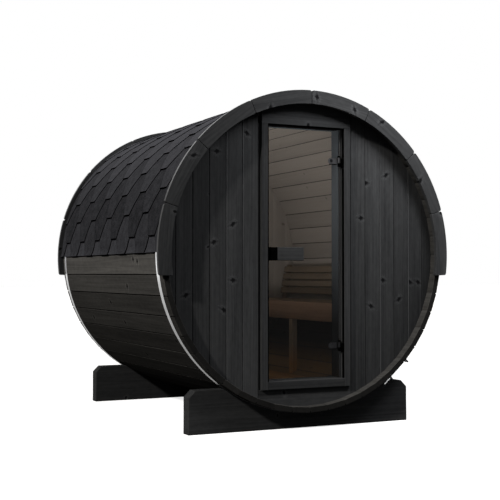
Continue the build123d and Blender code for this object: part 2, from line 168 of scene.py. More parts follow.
def signed_volume(rings):
    """Sum over all faces of a . (b x c) / 6, for each piece of rings (pieces, rings, points, 3)."""
    a, d = rings[:, :-1], rings[:, 1:]
    b, c = np.roll(a, -1, axis=2), np.roll(d, -1, axis=2)
    sides = (a * np.cross(b, c)).sum((1, 2, 3)) + (a * np.cross(c, d)).sum((1, 2, 3))
    caps = 0.0
    for ring, sign in ((rings[:, 0], -1.0), (rings[:, -1], 1.0)):
        fan = ring[:, :1] * np.cross(ring[:, 1:-1], ring[:, 2:])
        caps = caps + sign * fan.sum((1, 2))
    return (sides + caps) / 6


def loft(name, rings, look=STAINED, grain=None, body="cabin", replaces=(), slot=None, bare=False,
         sawn=False, tone=0.3, shade=0.0, knots=(), smooth=True):
    """One mesh of several skins, each a row of rings: quads join neighbouring points of neighbouring rings,
    and the first and last ring are capped. look names the finish; slot is not used. grain holds each point in
    its own board: across, through and along. A bare board is unstained inside the cabin, and the caps of a
    sawn one show its end grain. tone is the spread of the skins' own tones, and shade is added to it at each
    point. knots lists a skin and a place across and along it."""
    rings = np.asarray(rings, float)
    grain = rings.copy() if grain is None else np.asarray(grain, float)
    shade = np.zeros(rings.shape[:3]) + shade
    inward = signed_volume(rings) < 0
    for field in (rings, grain, shade):
        field[inward] = field[inward][:, :, ::-1]
    count, steps, points, _ = rings.shape
    index = np.arange(count * steps * points).reshape(count, steps, points)
    before, after = index[:, :-1], index[:, 1:]
    quads = np.stack([before, np.roll(before, -1, 2), np.roll(after, -1, 2), after], -1).reshape(-1, 4)
    caps = np.concatenate([index[:, 0, ::-1], index[:, -1]])
    mesh = bpy.data.meshes.new(name)
    mesh.from_pydata(rings.reshape(-1, 3), [], quads.tolist() + caps.tolist())
    mesh.validate()
    add_knots(mesh, grain, knots)
    chance = np.random.default_rng(sum(map(ord, name)))
    grain = grain + chance.uniform(0, 40, (count, 1, 1, 3))
    tones = chance.normal(0, tone, (count, 1, 1)) + shade
    is_cap = np.arange(len(mesh.polygons)) >= len(quads)
    add_field(mesh, "grain", "POINT", grain, "FLOAT_VECTOR")
    add_field(mesh, "tone", "POINT", tones)
    add_field(mesh, "bare", "FACE", bare_faces(mesh) * float(bare))
    add_field(mesh, "end", "FACE", is_cap * float(sawn))
    add_field(mesh, "rim", "FACE", rim_faces(mesh))
    if smooth:
        mesh.shade_smooth()
        mesh.set_sharp_from_angle(angle=SHARP_ANGLE)
    mesh.materials.append(finish(look))
    piece = bpy.data.objects.new(name, mesh)
    bpy.context.scene.collection.objects.link(piece)
    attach(piece, body)
    if replaces:
        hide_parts(*replaces)


def add_field(mesh, name, domain, values, kind="FLOAT"):
    """Stores one value for each point or face under a name that the materials read."""
    field = mesh.attributes.new(name, kind, domain)
    key = "vector" if kind == "FLOAT_VECTOR" else "value"
    field.data.foreach_set(key, np.ascontiguousarray(values, np.float32).ravel())


def add_knots(mesh, grain, knots):
    """Stores for each point how far it lies across and along from the placed knots of
    its own skin, and 2 plus the knot's lean where the skin has that knot."""
    for number in range(PLACED_KNOTS if knots else 0):
        offset = np.zeros(grain.shape)
        for skin in {row[0] for row in knots}:
            own = [row for row in knots if row[0] == skin]
            if number < len(own):
                _, across, along = own[number]
                offset[skin, ..., 0] = grain[skin, ..., 0] - across
                offset[skin, ..., 1] = grain[skin, ..., 2] - along
                offset[skin, ..., 2] = 2.0 + 0.5 * np.sin(40 * along)
        add_field(mesh, f"knot_{number + 1}", "POINT", offset, "FLOAT_VECTOR")


def of_faces(mesh, key):
    """The faces' middles or normals, as x, y and z."""
    values = np.zeros(len(mesh.polygons) * 3, np.float32)
    mesh.polygons.foreach_get(key, values)
    return values.reshape(-1, 3).T


def bare_faces(mesh):
    """1 for a face inside the cabin, where the wood is left unstained: its middle lies
    between the end walls' inner faces and no further from the axis than the lining."""
    x, y, z = of_faces(mesh, "center")
    inside = (y > WALL_HIGH.y - 0.0005) & (y < REAR_WALL_LOW.y + 0.0005)
    return (inside & (np.hypot(x, z - AXIS) < LINING_R + 0.003)).astype(float)


def rim_faces(mesh):
    """How glossy a face on the outer rim of the trims is: its middle lies beyond the shingles and its normal
    points away from the axis. The gloss weakens lower down, a painted fade of the rim's sheen."""
    x, _, z = of_faces(mesh, "center")
    normal_x, _, normal_z = of_faces(mesh, "normal")
    radius = np.hypot(x, z - AXIS)
    outwards = (normal_x * x + normal_z * (z - AXIS)) / radius
    start, rise, least = 0.28, 0.25, 0.3
    level = least + (1 - least) * np.clip((z - AXIS - start) / rise, 0, 1)
    return ((radius > TRIM_R - 0.004) & (outwards > 0.9)) * level


def plank_outline(parts, rebated=""):
    """The outline of a plank's section, one row for each point: share of the width,
    chamfers in, gaps in, share of the thickness, chamfers in and rebates in. Two long
    faces of some parts and a chamfer at each corner; the seams of the front or the back
    face are rebated, to show as open joints."""
    share = np.arange(parts + 1) / parts
    shift = np.where(share == 0, 1.0, np.where(share == 1, -1.0, 0.0))
    face = np.stack([share, shift, shift, 0 * share, 0 * share, 0 * share], 1)
    back = (face + (0, 0, 0, 1, 0, 0))[::-1]
    right = {
        "": [(1, 0, 0, 0, 1, 0), (1, 0, 0, 1, -1, 0)],
        "front": [(1, 0, -1, 0, 1, 0), (1, 0, -1, 0, 0, 1), (1, 0, 0, 0, 0, 1), (1, 0, 0, 1, -1, 0)],
        "back": [(1, 0, 0, 0, 1, 0), (1, 0, 0, 1, 0, -1), (1, 0, -1, 1, 0, -1), (1, 0, -1, 1, -1, 0)],
    }
    right = np.array(right[rebated], float)
    left = right[::-1] * (0, 1, -1, 1, 1, 1)
    return np.concatenate([face, right, back, left])


def planks(name, spans, along, across, chamfer=0.0015, parts=1, gap=0.0, rebate=0.0, rebated="",
           low_end=None, high_end=None, **options):
    """Straight boards. spans (boards, 3, 2) holds the lowest and highest x, y and z of
    each, along is the axis of its length and across the axis of its width. low_end and
    high_end give an end's place from the section's x, y and z, to follow the barrel."""
    spans = np.asarray(spans, float)
    through = 3 - along - across
    outline = plank_outline(parts, rebated)
    size = spans[:, :, 1] - spans[:, :, 0]
    section = np.zeros((len(spans), len(outline), 3))
    section[:, :, across] = (spans[:, across, :1] + outline[:, 0] * size[:, across, None]
                             + outline[:, 1] * chamfer + outline[:, 2] * gap)
    section[:, :, through] = (spans[:, through, :1] + outline[:, 3] * size[:, through, None]
                              + outline[:, 4] * chamfer + outline[:, 5] * rebate)
    inner = section.copy()
    for axis in (across, through):
        inner[:, :, axis] = np.clip(section[:, :, axis], spans[:, axis, :1] + 0.7 * chamfer,
                                    spans[:, axis, 1:] - 0.7 * chamfer)
    rings = []
    for ring, end, value, step in ((inner, low_end, 0, 0.0), (section, low_end, 0, chamfer),
                                   (section, high_end, 1, -chamfer), (inner, high_end, 1, 0.0)):
        ring = ring.copy()
        place = spans[:, along, value][:, None] if end is None else end(section)
        ring[:, :, along] = place + step
        rings.append(ring)
    rings = np.stack(rings, 1)
    grain = np.stack([rings[..., across], rings[..., through], rings[..., along]], -1)
    loft(name, rings, grain=grain, sawn=True, **options)


def slab(name, outline, front, back, chamfer, **options):
    """A board sawn to an outline (points, 2) of x and z, from y front to y back, with its
    rim chamfered by moving the end rings' points inwards along the outline's normals."""
    outline = np.asarray(outline, float)
    step = np.roll(outline, -1, 0) - np.roll(outline, 1, 0)
    normal = np.stack([-step[:, 1], step[:, 0]], 1)
    normal /= np.linalg.norm(normal, axis=1, keepdims=True)
    x, z = outline.T
    turning = (x * np.roll(z, -1) - np.roll(x, -1) * z).sum()
    inner = outline + normal * chamfer * np.sign(turning)
    rings = []
    for ring, y in ((inner, front), (outline, front + chamfer), (outline, back - chamfer), (inner, back)):
        rings.append(np.stack([ring[:, 0], np.full(len(ring), y), ring[:, 1]], 1))
    rings = np.array([rings])
    loft(name, rings, grain=rings[..., (2, 1, 0)], **options)


def turned(profile, centre, direction, sides=24):
    """Rings of a turned part: profile (steps, 2) of place along the axis and radius,
    each ring with its points at equal angles in the plane across the direction."""
    direction = np.array(direction, float) / np.linalg.norm(direction)
    side = np.cross(direction, (0.0, 1.0, 0.0) if abs(direction[1]) < 0.9 else (1.0, 0.0, 0.0))
    side /= np.linalg.norm(side)
    angle = np.arange(sides) * 2 * np.pi / sides
    round_it = np.cos(angle)[:, None] * side + np.sin(angle)[:, None] * np.cross(direction, side)
    profile = np.asarray(profile, float)
    return (np.array(centre) + profile[:, :1, None] * direction
            + profile[:, 1:, None] * round_it)


def drum(start, end, edge, radius=0.009):
    """The profile of a plain round bar from start to end with a softened edge."""
    return [(start, radius - edge), (start + edge, radius), (end - edge, radius), (end, radius - edge)]


# Materials

class Board:
    """A node tree with short calls for the nodes that the finishes use."""

    def __init__(self, tree):
        self.tree = tree

    def link(self, value, node, name):
        self.tree.links.new(value, node.inputs[name])

    def node(self, kind, inputs=None, **settings):
        made = self.tree.nodes.new(kind)
        for key, value in settings.items():
            setattr(made, key, value)
        for key, value in (inputs or {}).items():
            if isinstance(value, bpy.types.NodeSocket):
                self.link(value, made, key)
            else:
                made.inputs[key].default_value = value
        return made

    def math(self, operation, *values, clamp=False):
        return self.node("ShaderNodeMath", dict(enumerate(values)), operation=operation,
                         use_clamp=clamp).outputs[0]

    def plus(self, a, b, clamp=False):
        return self.math("ADD", a, b, clamp=clamp)

    def minus(self, a, b):
        return self.math("SUBTRACT", a, b)

    def times(self, a, b):
        return self.math("MULTIPLY", a, b)

    def vector_math(self, operation, inputs, output=0):
        return self.node("ShaderNodeVectorMath", inputs, operation=operation).outputs[output]

    def scaled(self, vector, scale):
        return self.vector_math("MULTIPLY", {0: vector, 1: scale})

    def faded(self, colour, level):
        """The colour times a level."""
        return self.vector_math("SCALE", {0: colour, "Scale": level})

    def length(self, x, y):
        """The point x, y and how far it lies from 0."""
        flat = self.node("ShaderNodeCombineXYZ", {"X": x, "Y": y}).outputs[0]
        return flat, self.vector_math("LENGTH", {0: flat}, "Value")

    def part(self, vector, axis):
        return self.node("ShaderNodeSeparateXYZ", {"Vector": vector}).outputs[axis]

    def noise(self, vector, scale, detail=3.0):
        inputs = {"Vector": vector, "Scale": scale, "Detail": detail}
        return self.node("ShaderNodeTexNoise", inputs).outputs[0]

    def ramp(self, value, low, high, start=0.0, end=1.0):
        """start where the value is low, end where it is high, and evenly between them."""
        return self.node("ShaderNodeMapRange", {"Value": value, "From Min": low, "From Max": high,
                                                "To Min": start, "To Max": end},
                         clamp=True).outputs[0]

    def mix(self, share, a, b):
        """Colour a where the share is 0 and b where it is 1."""
        a, b = (value if isinstance(value, bpy.types.NodeSocket) else (*value, 1.0) for value in (a, b))
        return self.node("ShaderNodeMix", {0: share, 6: a, 7: b}, data_type="RGBA").outputs[2]

    def field(self, name, output="Fac"):
        made = self.node("ShaderNodeAttribute", attribute_name=name, attribute_type="GEOMETRY")
        return made.outputs[output]

    def place(self):
        return self.node("ShaderNodeTexCoord").outputs["Object"]

    def bump(self, shader, height, strength, distance):
        made = self.node("ShaderNodeBump", {"Height": height, "Strength": strength, "Distance": distance})
        self.link(made.outputs[0], shader, "Normal")

    def give(self, **values):
        """Ends a node group with one float output for each value."""
        for name in values:
            self.tree.interface.new_socket(name, in_out="OUTPUT", socket_type="NodeSocketFloat")
        self.node("NodeGroupOutput", values)


def new_group(name, **kinds):
    """A node group with inputs of these kinds, as a Board, and its inputs' values."""
    group = bpy.data.node_groups.new(name, "ShaderNodeTree")
    for key, kind in kinds.items():
        group.interface.new_socket(key, in_out="INPUT", socket_type=kind)
    b = Board(group)
    return b, b.node("NodeGroupInput").outputs


def spruce_group():
    """Knotty spruce in the board's own coordinates: grain that runs along the board and
    parts round the knots, the knots, the pale wood round them, and broad patches."""
    b, given = new_group("knotty spruce", Grain="NodeSocketVector", Knots="NodeSocketFloat")
    grain = given["Grain"]
    face = b.node("ShaderNodeCombineXYZ", {"X": b.part(grain, "X"), "Y": b.part(grain, "Z")}).outputs[0]
    cell_size = (0.13, 0.34, 1.0)
    squeezed = b.scaled(face, tuple(1 / size for size in cell_size))
    cells = b.node("ShaderNodeTexVoronoi", {"Vector": squeezed, "Scale": 1.0, "Randomness": 0.65},
                   feature="F1", voronoi_dimensions="2D").outputs
    chance = b.node("ShaderNodeSeparateColor", {"Color": cells["Color"]}).outputs
    offset = b.scaled(b.vector_math("SUBTRACT", {0: squeezed, 1: cells["Position"]}), cell_size)
    across = b.part(offset, "X")
    along = b.minus(b.part(offset, "Y"), b.times(b.minus(chance[2], 0.5), across))
    _, away = b.length(b.times(across, 0.85), b.times(along, 1.2))
    away = b.times(away, b.ramp(b.noise(face, 60.0, 2.0), 0.2, 0.8, 0.75, 1.25))
    chosen = b.math("LESS_THAN", chance[0], given["Knots"])
    share = b.math("DIVIDE", away, b.ramp(chance[1], 0.0, 1.0, 0.005, 0.013))
    knot = b.times(b.ramp(share, 1.25, 0.75), chosen)
    ring = b.times(b.ramp(share, 3.2, 1.0), chosen)
    year_rings = b.noise(b.scaled(grain, (1.0, 1.0, 0.025)), 14.0, 1.0)
    phase = b.plus(b.times(year_rings, 60.0), b.times(ring, 3.0))
    waves = b.times(b.plus(b.math("SINE", phase), 1.0), 0.5)
    fine = b.noise(b.scaled(grain, (170.0, 170.0, 1.8)), 1.0, 4.0)
    mottle = b.noise(b.scaled(grain, (60.0, 60.0, 22.0)), 1.0)
    streaks = b.plus(b.plus(b.times(waves, 0.12), b.times(fine, 0.5)), b.times(mottle, 0.38))
    patches = b.noise(b.scaled(grain, (16.0, 16.0, 0.9)), 1.0)
    b.give(Streaks=streaks, Knot=knot, Ring=ring, Patches=patches)
    return b.tree


def knot_group():
    """A single knot from the offset to its middle: a ragged core, a pale ring round it
    and the dark marks that a branch leaves to both sides."""
    b, given = new_group("single knot", Offset="NodeSocketVector")
    across, along, mark = (b.part(given["Offset"], axis) for axis in "XYZ")
    along = b.minus(along, b.times(b.minus(mark, 2.0), across))
    flat, away = b.length(b.times(across, 0.8), along)
    away = b.times(away, b.ramp(b.noise(flat, 90.0, 2.0), 0.3, 0.7, 0.55, 1.45))
    reach = b.ramp(b.math("ABSOLUTE", across), 0.045, 0.012)
    level = b.ramp(b.math("ABSOLUTE", along), 0.011, 0.003)
    wings = b.times(b.times(reach, level), 0.65)
    knot = b.math("MAXIMUM", b.ramp(away, 0.017, 0.009), wings)
    there = b.math("GREATER_THAN", mark, 0.5)
    b.give(Knot=b.times(knot, there), Ring=b.times(b.ramp(away, 0.034, 0.019), there))
    return b.tree


def principled(name, colour, roughness, metallic=0.0, specular=0.5):
    """A material with the constants on the shader's own sockets."""
    material = bpy.data.materials.new(name)
    material.use_nodes = True
    shader = material.node_tree.nodes["Principled BSDF"]
    shader.inputs["Base Color"].default_value = (*colour, 1.0)
    shader.inputs["Roughness"].default_value = roughness
    shader.inputs["Metallic"].default_value = metallic
    shader.inputs["Specular IOR Level"].default_value = specular
    return material, Board(material.node_tree), shader


def wood_material(name, stain, inside, knots, shade):
    """Spruce stained on its outer faces and left as it is on those marked bare: stain and inside hold the
    colours of the dark and the light streaks. End grain has drunk more of the stain. knots is the share of
    cells with a knot on boards that have none placed, and shade is one of the rows above, which paint shade
    on the bare wood by its height. The tone field brings each board's own tone together with the painted
    light and shade that the pieces add."""
    spruce = bpy.data.node_groups.get("knotty spruce") or spruce_group()
    single = bpy.data.node_groups.get("single knot") or knot_group()
    material, b, shader = principled(name, stain[0], 0.6, specular=0.0)
    placed = b.part(b.field("knot_1", "Vector"), "Z")
    figure = b.node("ShaderNodeGroup", {"Grain": b.field("grain", "Vector"),
                                        "Knots": b.ramp(placed, 0.0, 1.0, knots, 0.0)},
                    node_tree=spruce).outputs
    streaks, knot, ring = figure["Streaks"], figure["Knot"], figure["Ring"]
    for number in range(PLACED_KNOTS):
        mark = b.node("ShaderNodeGroup", {"Offset": b.field(f"knot_{number + 1}", "Vector")},
                      node_tree=single).outputs
        knot = b.math("MAXIMUM", knot, mark["Knot"])
        ring = b.math("MAXIMUM", ring, mark["Ring"])
    share = b.ramp(b.plus(b.times(streaks, 0.8), b.times(figure["Patches"], 0.5)), 0.28, 1.02)
    level = b.ramp(b.field("tone"), -2.3, 3.0, 0.08, 2.2)
    pale = b.times(level, b.ramp(ring, 0.0, 1.0, 1.0, 1.4))
    stained = b.faded(b.mix(share, *stain), pale)
    stained = b.mix(b.times(knot, 0.9), stained, (0.004, 0.004, 0.0045))
    stained = b.mix(b.times(b.field("end"), 0.75), stained, (0.008, 0.008, 0.008))
    natural = b.faded(b.mix(share, *inside), level)
    natural = b.mix(b.times(knot, 0.5), natural, (0.1, 0.085, 0.07))
    low, high, left, near = shade
    # Painted shade: the bare wood darkens downwards, and painted light brightens it again at the bottom by
    # the door
    height = b.part(b.place(), "Z")
    dimmed = b.faded(natural, b.ramp(height, AXIS + low, AXIS + high, left, 1.0))
    lit = b.scaled(natural, tuple(near * c for c in DOOR_LIGHT))
    dimmed = b.mix(b.ramp(height, AXIS - 0.64, AXIS - 0.78), dimmed, lit)
    b.link(b.mix(b.field("bare"), stained, dimmed), shader, "Base Color")
    b.link(b.ramp(streaks, 0.2, 0.9, 0.52, 0.7), shader, "Roughness")
    b.bump(shader, b.minus(streaks, b.times(knot, 0.4)), 0.2, 0.0012)
    b.link(b.field("rim"), shader, "Coat Weight")
    shader.inputs["Coat Roughness"].default_value = 0.3
    return material


def shingle_material(look):
    """Bitumen shingles: mineral grit as speckles of colour and height, in Object coordinates."""
    colour = tuple(look.shingle)
    material, b, shader = principled("bitumen shingle", colour, 0.9, specular=0.0)
    place, tone = b.place(), b.field("tone")
    grit = b.noise(place, 700.0, 2.0)
    speckle = b.plus(b.times(grit, 0.25), b.times(b.noise(place, 150.0, 2.0), 0.6))
    # The tone brings each row's painted light, lighter towards the ridge
    broad = b.plus(b.times(b.noise(place, 22.0, 4.0), 0.35), b.times(tone, 0.25))
    dark, light = (tuple(level * c for c in colour) for level in (0.4, 1.8))
    mixed = b.mix(b.ramp(b.plus(speckle, broad), 0.35, 0.9), dark, light)
    # Painted shade: the tips, sides and open joints, whose tone is very low, turn near black
    b.link(b.faded(mixed, b.ramp(tone, -6.0, -3.0, 0.03, 1.0)), shader, "Base Color")
    b.bump(shader, grit, 0.5, 0.0015)
    return material


def steel_material(name, colour, roughness, stretch, painted_fade=()):
    """Rolled or brushed steel: fine scratches drawn out along one direction. The last argument gives the
    painted shade by height that stands in for the dark ground in the reflection: the level from a share of 0
    low down to 1 at the axis."""
    material, b, shader = principled(name, colour, roughness, metallic=1.0)
    place = b.place()
    scratch = b.noise(b.scaled(place, stretch), 1.0)
    b.link(b.ramp(scratch, 0.3, 0.7, roughness - 0.06, roughness + 0.1), shader, "Roughness")
    worn = b.ramp(b.noise(place, 14.0), 0.35, 0.75)
    mixed = b.mix(worn, tuple(0.8 * c for c in colour), colour)
    # Painted shade: the steel darkens downwards, standing in for the darker reflection lower down
    if painted_fade:
        height = b.ramp(b.part(place, "Z"), AXIS - 0.85, AXIS)
        shade_by_height = b.node("ShaderNodeFloatCurve", {"Value": height})
        points = shade_by_height.mapping.curves[0].points
        points[0].location, points[-1].location = painted_fade[0], painted_fade[-1]
        for point in painted_fade[1:-1]:
            points.new(*point)
        shade_by_height.mapping.update()
        mixed = b.faded(mixed, shade_by_height.outputs[0])
    b.link(mixed, shader, "Base Color")
    return material


def plastic_material(_look):
    """Black moulded plastic with a fine grain."""
    material, b, shader = principled("black plastic", (0.001, 0.001, 0.001), 0.5, specular=0.0)
    grain = b.noise(b.place(), 900.0, 2.0)
    b.link(b.ramp(grain, 0.3, 0.7, 0.45, 0.62), shader, "Roughness")
    b.bump(shader, grain, 0.2, 0.0006)
    return material


def glass_material(look):
    """Bronze toughened glass, which lets the lamps' light through to the cabin. A faint
    even veil stands for the pale sky in it, as a reflection this weak renders as specks."""
    tint = tuple(look.glass)
    material, b, shader = principled("bronze glass", tint, 0.02)
    shader.inputs["Transmission Weight"].default_value = 1.0
    shader.inputs["IOR"].default_value = 1.0
    shader.inputs["Emission Color"].default_value = (1.0, 1.0, 1.0, 1.0)
    shader.inputs["Emission Strength"].default_value = 0.0022
    clear = b.node("ShaderNodeBsdfTransparent", {"Color": (*tint, 1.0)})
    path = b.node("ShaderNodeLightPath")
    both = b.node("ShaderNodeMixShader", {0: path.outputs["Is Shadow Ray"], 1: shader.outputs[0],
                                          2: clear.outputs[0]})
    b.link(both.outputs[0], material.node_tree.nodes["Material Output"], "Surface")
    return material


def tinted(colours, tint):
    """Each colour times a tint or a level."""
    return [tuple(np.multiply(tuple(colour), tint)) for colour in colours]


def finish(key):
    """The finish of that name, made the first time that a piece asks for it."""
    if key in bpy.data.materials:
        return bpy.data.materials[key]
    look = bpy.context.scene.sauna_finish
    stain = tinted((look.stain, look.stain_light), 1.0)
    inside = tinted((look.inside_dark, look.inside), 1.0)
    bench = tinted((look.bench_dark, look.bench), 1.0)
    apron = tinted(bench, APRON_TINT_AND_SHADE)
    # The reveal's pale bluish colour is painted light on the doorway's stained wood behind the glass
    reveal = [tuple(0.7 * c for c in look.reveal), tuple(look.reveal)]
    woods = {
        STAINED: (stain, inside, 0.32, WALL_SHADE),
        "stave wood": (tinted(stain, STAVE_TINT), inside, 0.32, WALL_SHADE),
        # The rear wall's bare wood is 1.15 times lighter, as painted light on its inner face
        "rear wall wood": (stain, tinted(inside, 1.15), 0.2, WALL_SHADE),
        "inside wood": (bench, bench, 0.3, FLOOR_SHADE),
        "apron wood": (apron, apron, 0.3, APRON_SHADE),
        "reveal wood": (reveal, reveal, 0.0, REVEAL_SHADE),
    }
    steels = {
        "bright steel": ((0.85, 0.86, 0.87), 0.3, (6.0, 300.0, 6.0), BAND_SHADE),
        "rod steel": ((0.85, 0.86, 0.87), 0.25, (30.0, 30.0, 30.0)),
        "brushed steel": ((0.075, 0.075, 0.079), 0.4, (30.0, 30.0, 400.0)),
        "dark steel": ((0.016, 0.016, 0.017), 0.4, (30.0, 30.0, 400.0)),
    }
    others = {"bitumen shingle": shingle_material, "black plastic": plastic_material,
              "bronze glass": glass_material}
    if key in woods:
        return wood_material(key, *woods[key])
    if key in steels:
        return steel_material(key, *steels[key])
    return others[key](look)


# Settings that a user would change

def length(name, default, description):
    """A setting in metres."""
    return FloatProperty(name=name, description=description, default=default, unit="LENGTH")


def colour(name, default, description):
    """A setting that holds a linear colour."""
    return FloatVectorProperty(name=name, description=description, default=default, subtype="COLOR",
                               min=0, max=1)


def strength(name, default, description):
    """A setting that can't be negative."""
    return FloatProperty(name=name, description=description, default=default, min=0)


class SaunaShell(bpy.types.PropertyGroup):
    """Sizes of the woodwork."""

    staves: IntProperty(name="Staves", description="Staves round the barrel", default=48, min=12)
    seam: length("Stave seam", 0.0022, "Depth of the bevel beside each seam")
    board_pitch: length("Wall board", 0.1105, "Width of a wall board")
    board_seam: length("Wall groove", 0.0007, "Bevel on a wall board's edges")
    trim_corner: length("Trim corner", 0.015, "Rounding of a trim board's outer corners")


class SaunaRoof(bpy.types.PropertyGroup):
    """Sizes of the shingles."""

    rows: IntProperty(name="Rows", description="Rows of shingles on each side", default=10, min=1)
    pitch: length("Pitch", 0.361, "Width of one tab and its notch")
    tip: length("Tip", 0.103, "Width of a tab at its tip")
    slant: length("Slant", 0.0775, "Width of a tab's slanted side")
    first: length("First centre", 0.192, "From the front to the first tab's middle")
    row_arc: FloatProperty(name="Row arc", description="Angle between two rows", default=radians(8.6),
                           subtype="ANGLE")
    kick: length("Kick", 0.008, "How far the shingles stand out at the eaves")


class SaunaFinish(bpy.types.PropertyGroup):
    """Colours of the finishes."""

    stain: colour("Stain", (0.019, 0.0197, 0.0212), "Dark streaks of the stained wood")
    stain_light: colour("Light stain", (0.069, 0.0705, 0.073), "Light streaks of the stained wood")
    inside: colour("Inside wood", (0.37, 0.345, 0.315), "Light streaks of the unstained wood")
    inside_dark: colour("Inside wood, dark", (0.29, 0.265, 0.24), "Dark streaks of the unstained wood")
    bench: colour("Bench wood", (0.27, 0.22, 0.165), "Light streaks of the bench and the floor")
    bench_dark: colour("Bench wood, dark", (0.16, 0.125, 0.09), "Dark streaks of the bench and the floor")
    # Painted light: a pale bluish colour stands for the stained doorway wood lit through the glass
    reveal: colour("Reveal", (0.128, 0.148, 0.168), "Wood of the doorway behind the glass")
    shingle: colour("Shingles", (0.048, 0.0492, 0.0562), "Colour of the mineral grit")
    glass: colour("Glass", (0.64, 0.63, 0.62), "Tint of the door's glass")


class SaunaStage(bpy.types.PropertyGroup):
    """Light of the stage."""

    sky: strength("Sky", 0.3, "Strength of the light from overhead")
    key: strength("Key", 2.1, "Strength of the lamp at the left")
    fill: strength("Fill", 92.0, "Watts of the soft lamp at the right")
    cabin: strength("Cabin", 12.0, "Watts of the lamp in the cabin")


# Pieces

class PieceOperator:
    """What the operators share."""

    bl_options = {"REGISTER", "UNDO"}


class SAUNA_OT_staves(PieceOperator, bpy.types.Operator):
    """Staves round the barrel, with bevelled seams and a groove for each end wall"""

    bl_idname = "sauna.staves"
    bl_label = "Staves"

    def execute(self, context):
        """Section of a stave in angle and radius, carried along y through both grooves.
        Both faces are flat: the radius is the middle's over the cosine of the angle."""
        shell = context.scene.sauna_shell
        half, seam = np.pi / shell.staves, shell.seam
        close, gap, slot, joint = 0.0002, 0.0028, 0.008, 0.0011
        edge, band_seat = 0.0015, 0.003
        edges = np.array([close, gap, gap, gap + seam]) / STAVE_R
        across = np.concatenate([edges - half, [-half / 3, half / 3], (half - edges)[::-1]])
        depth = np.array([slot, slot, seam, 0, 0, 0, 0, seam, slot, slot])
        flat = 1 / np.cos(across)
        outer = STAVE_R * np.cos(half) * flat - depth
        front, back = SHELL_LOW.y, SHELL_HIGH.y
        stops = [(front, LINING_R, edge), (front + edge, LINING_R, 0)]
        for low, high in ((WALL_LOW.y, WALL_HIGH.y), (REAR_WALL_LOW.y, REAR_WALL_HIGH.y)):
            stops += [(low, LINING_R, 0), (low, CROZE_R, 0), (high, CROZE_R, 0), (high, LINING_R, 0)]
        stops += [
            (REAR_BAND.y - 0.001, LINING_R, 0), (REAR_BAND.y, LINING_R, band_seat),
            (back - edge, LINING_R, band_seat), (back, LINING_R, band_seat + edge),
        ]
        shade = np.zeros((shell.staves, len(stops), 2 * len(across)))
        # The listed staves' tones, with painted light on the lowest ones
        for stave, tone in STAVE_TONE_AND_LIGHT.items():
            shade[stave] = tone
        # Painted shade: the walls of each seam's slot are near black
        shade[:, 1:-1, [0, 1, len(across) - 2, len(across) - 1]] = JOINT_SHADE
        middles = ((np.arange(shell.staves) + 0.5) * 2 * half)[:, None]
        angle = middles + np.concatenate([across, across[::-1]])
        width = (angle - middles) * STAVE_R
        rings, grain = [], []
        for y, inner, inset in stops:
            radius = np.concatenate([outer - inset, inner * flat + np.minimum(depth, joint) + inset])
            x, z = rim(radius, angle)
            rings.append(np.stack([x, np.full_like(x, y), z], -1))
            grain.append(np.stack([width, np.broadcast_to(radius, x.shape), np.full_like(x, y)], -1))
        nodes = [f"staves_{number + 1:02d}" for number in range(12)]
        loft("staves", np.stack(rings, 1), "stave wood", np.stack(grain, 1), replaces=nodes, bare=True,
             sawn=True, tone=0.15, shade=shade, knots=STAVE_KNOTS)
        return {"FINISHED"}


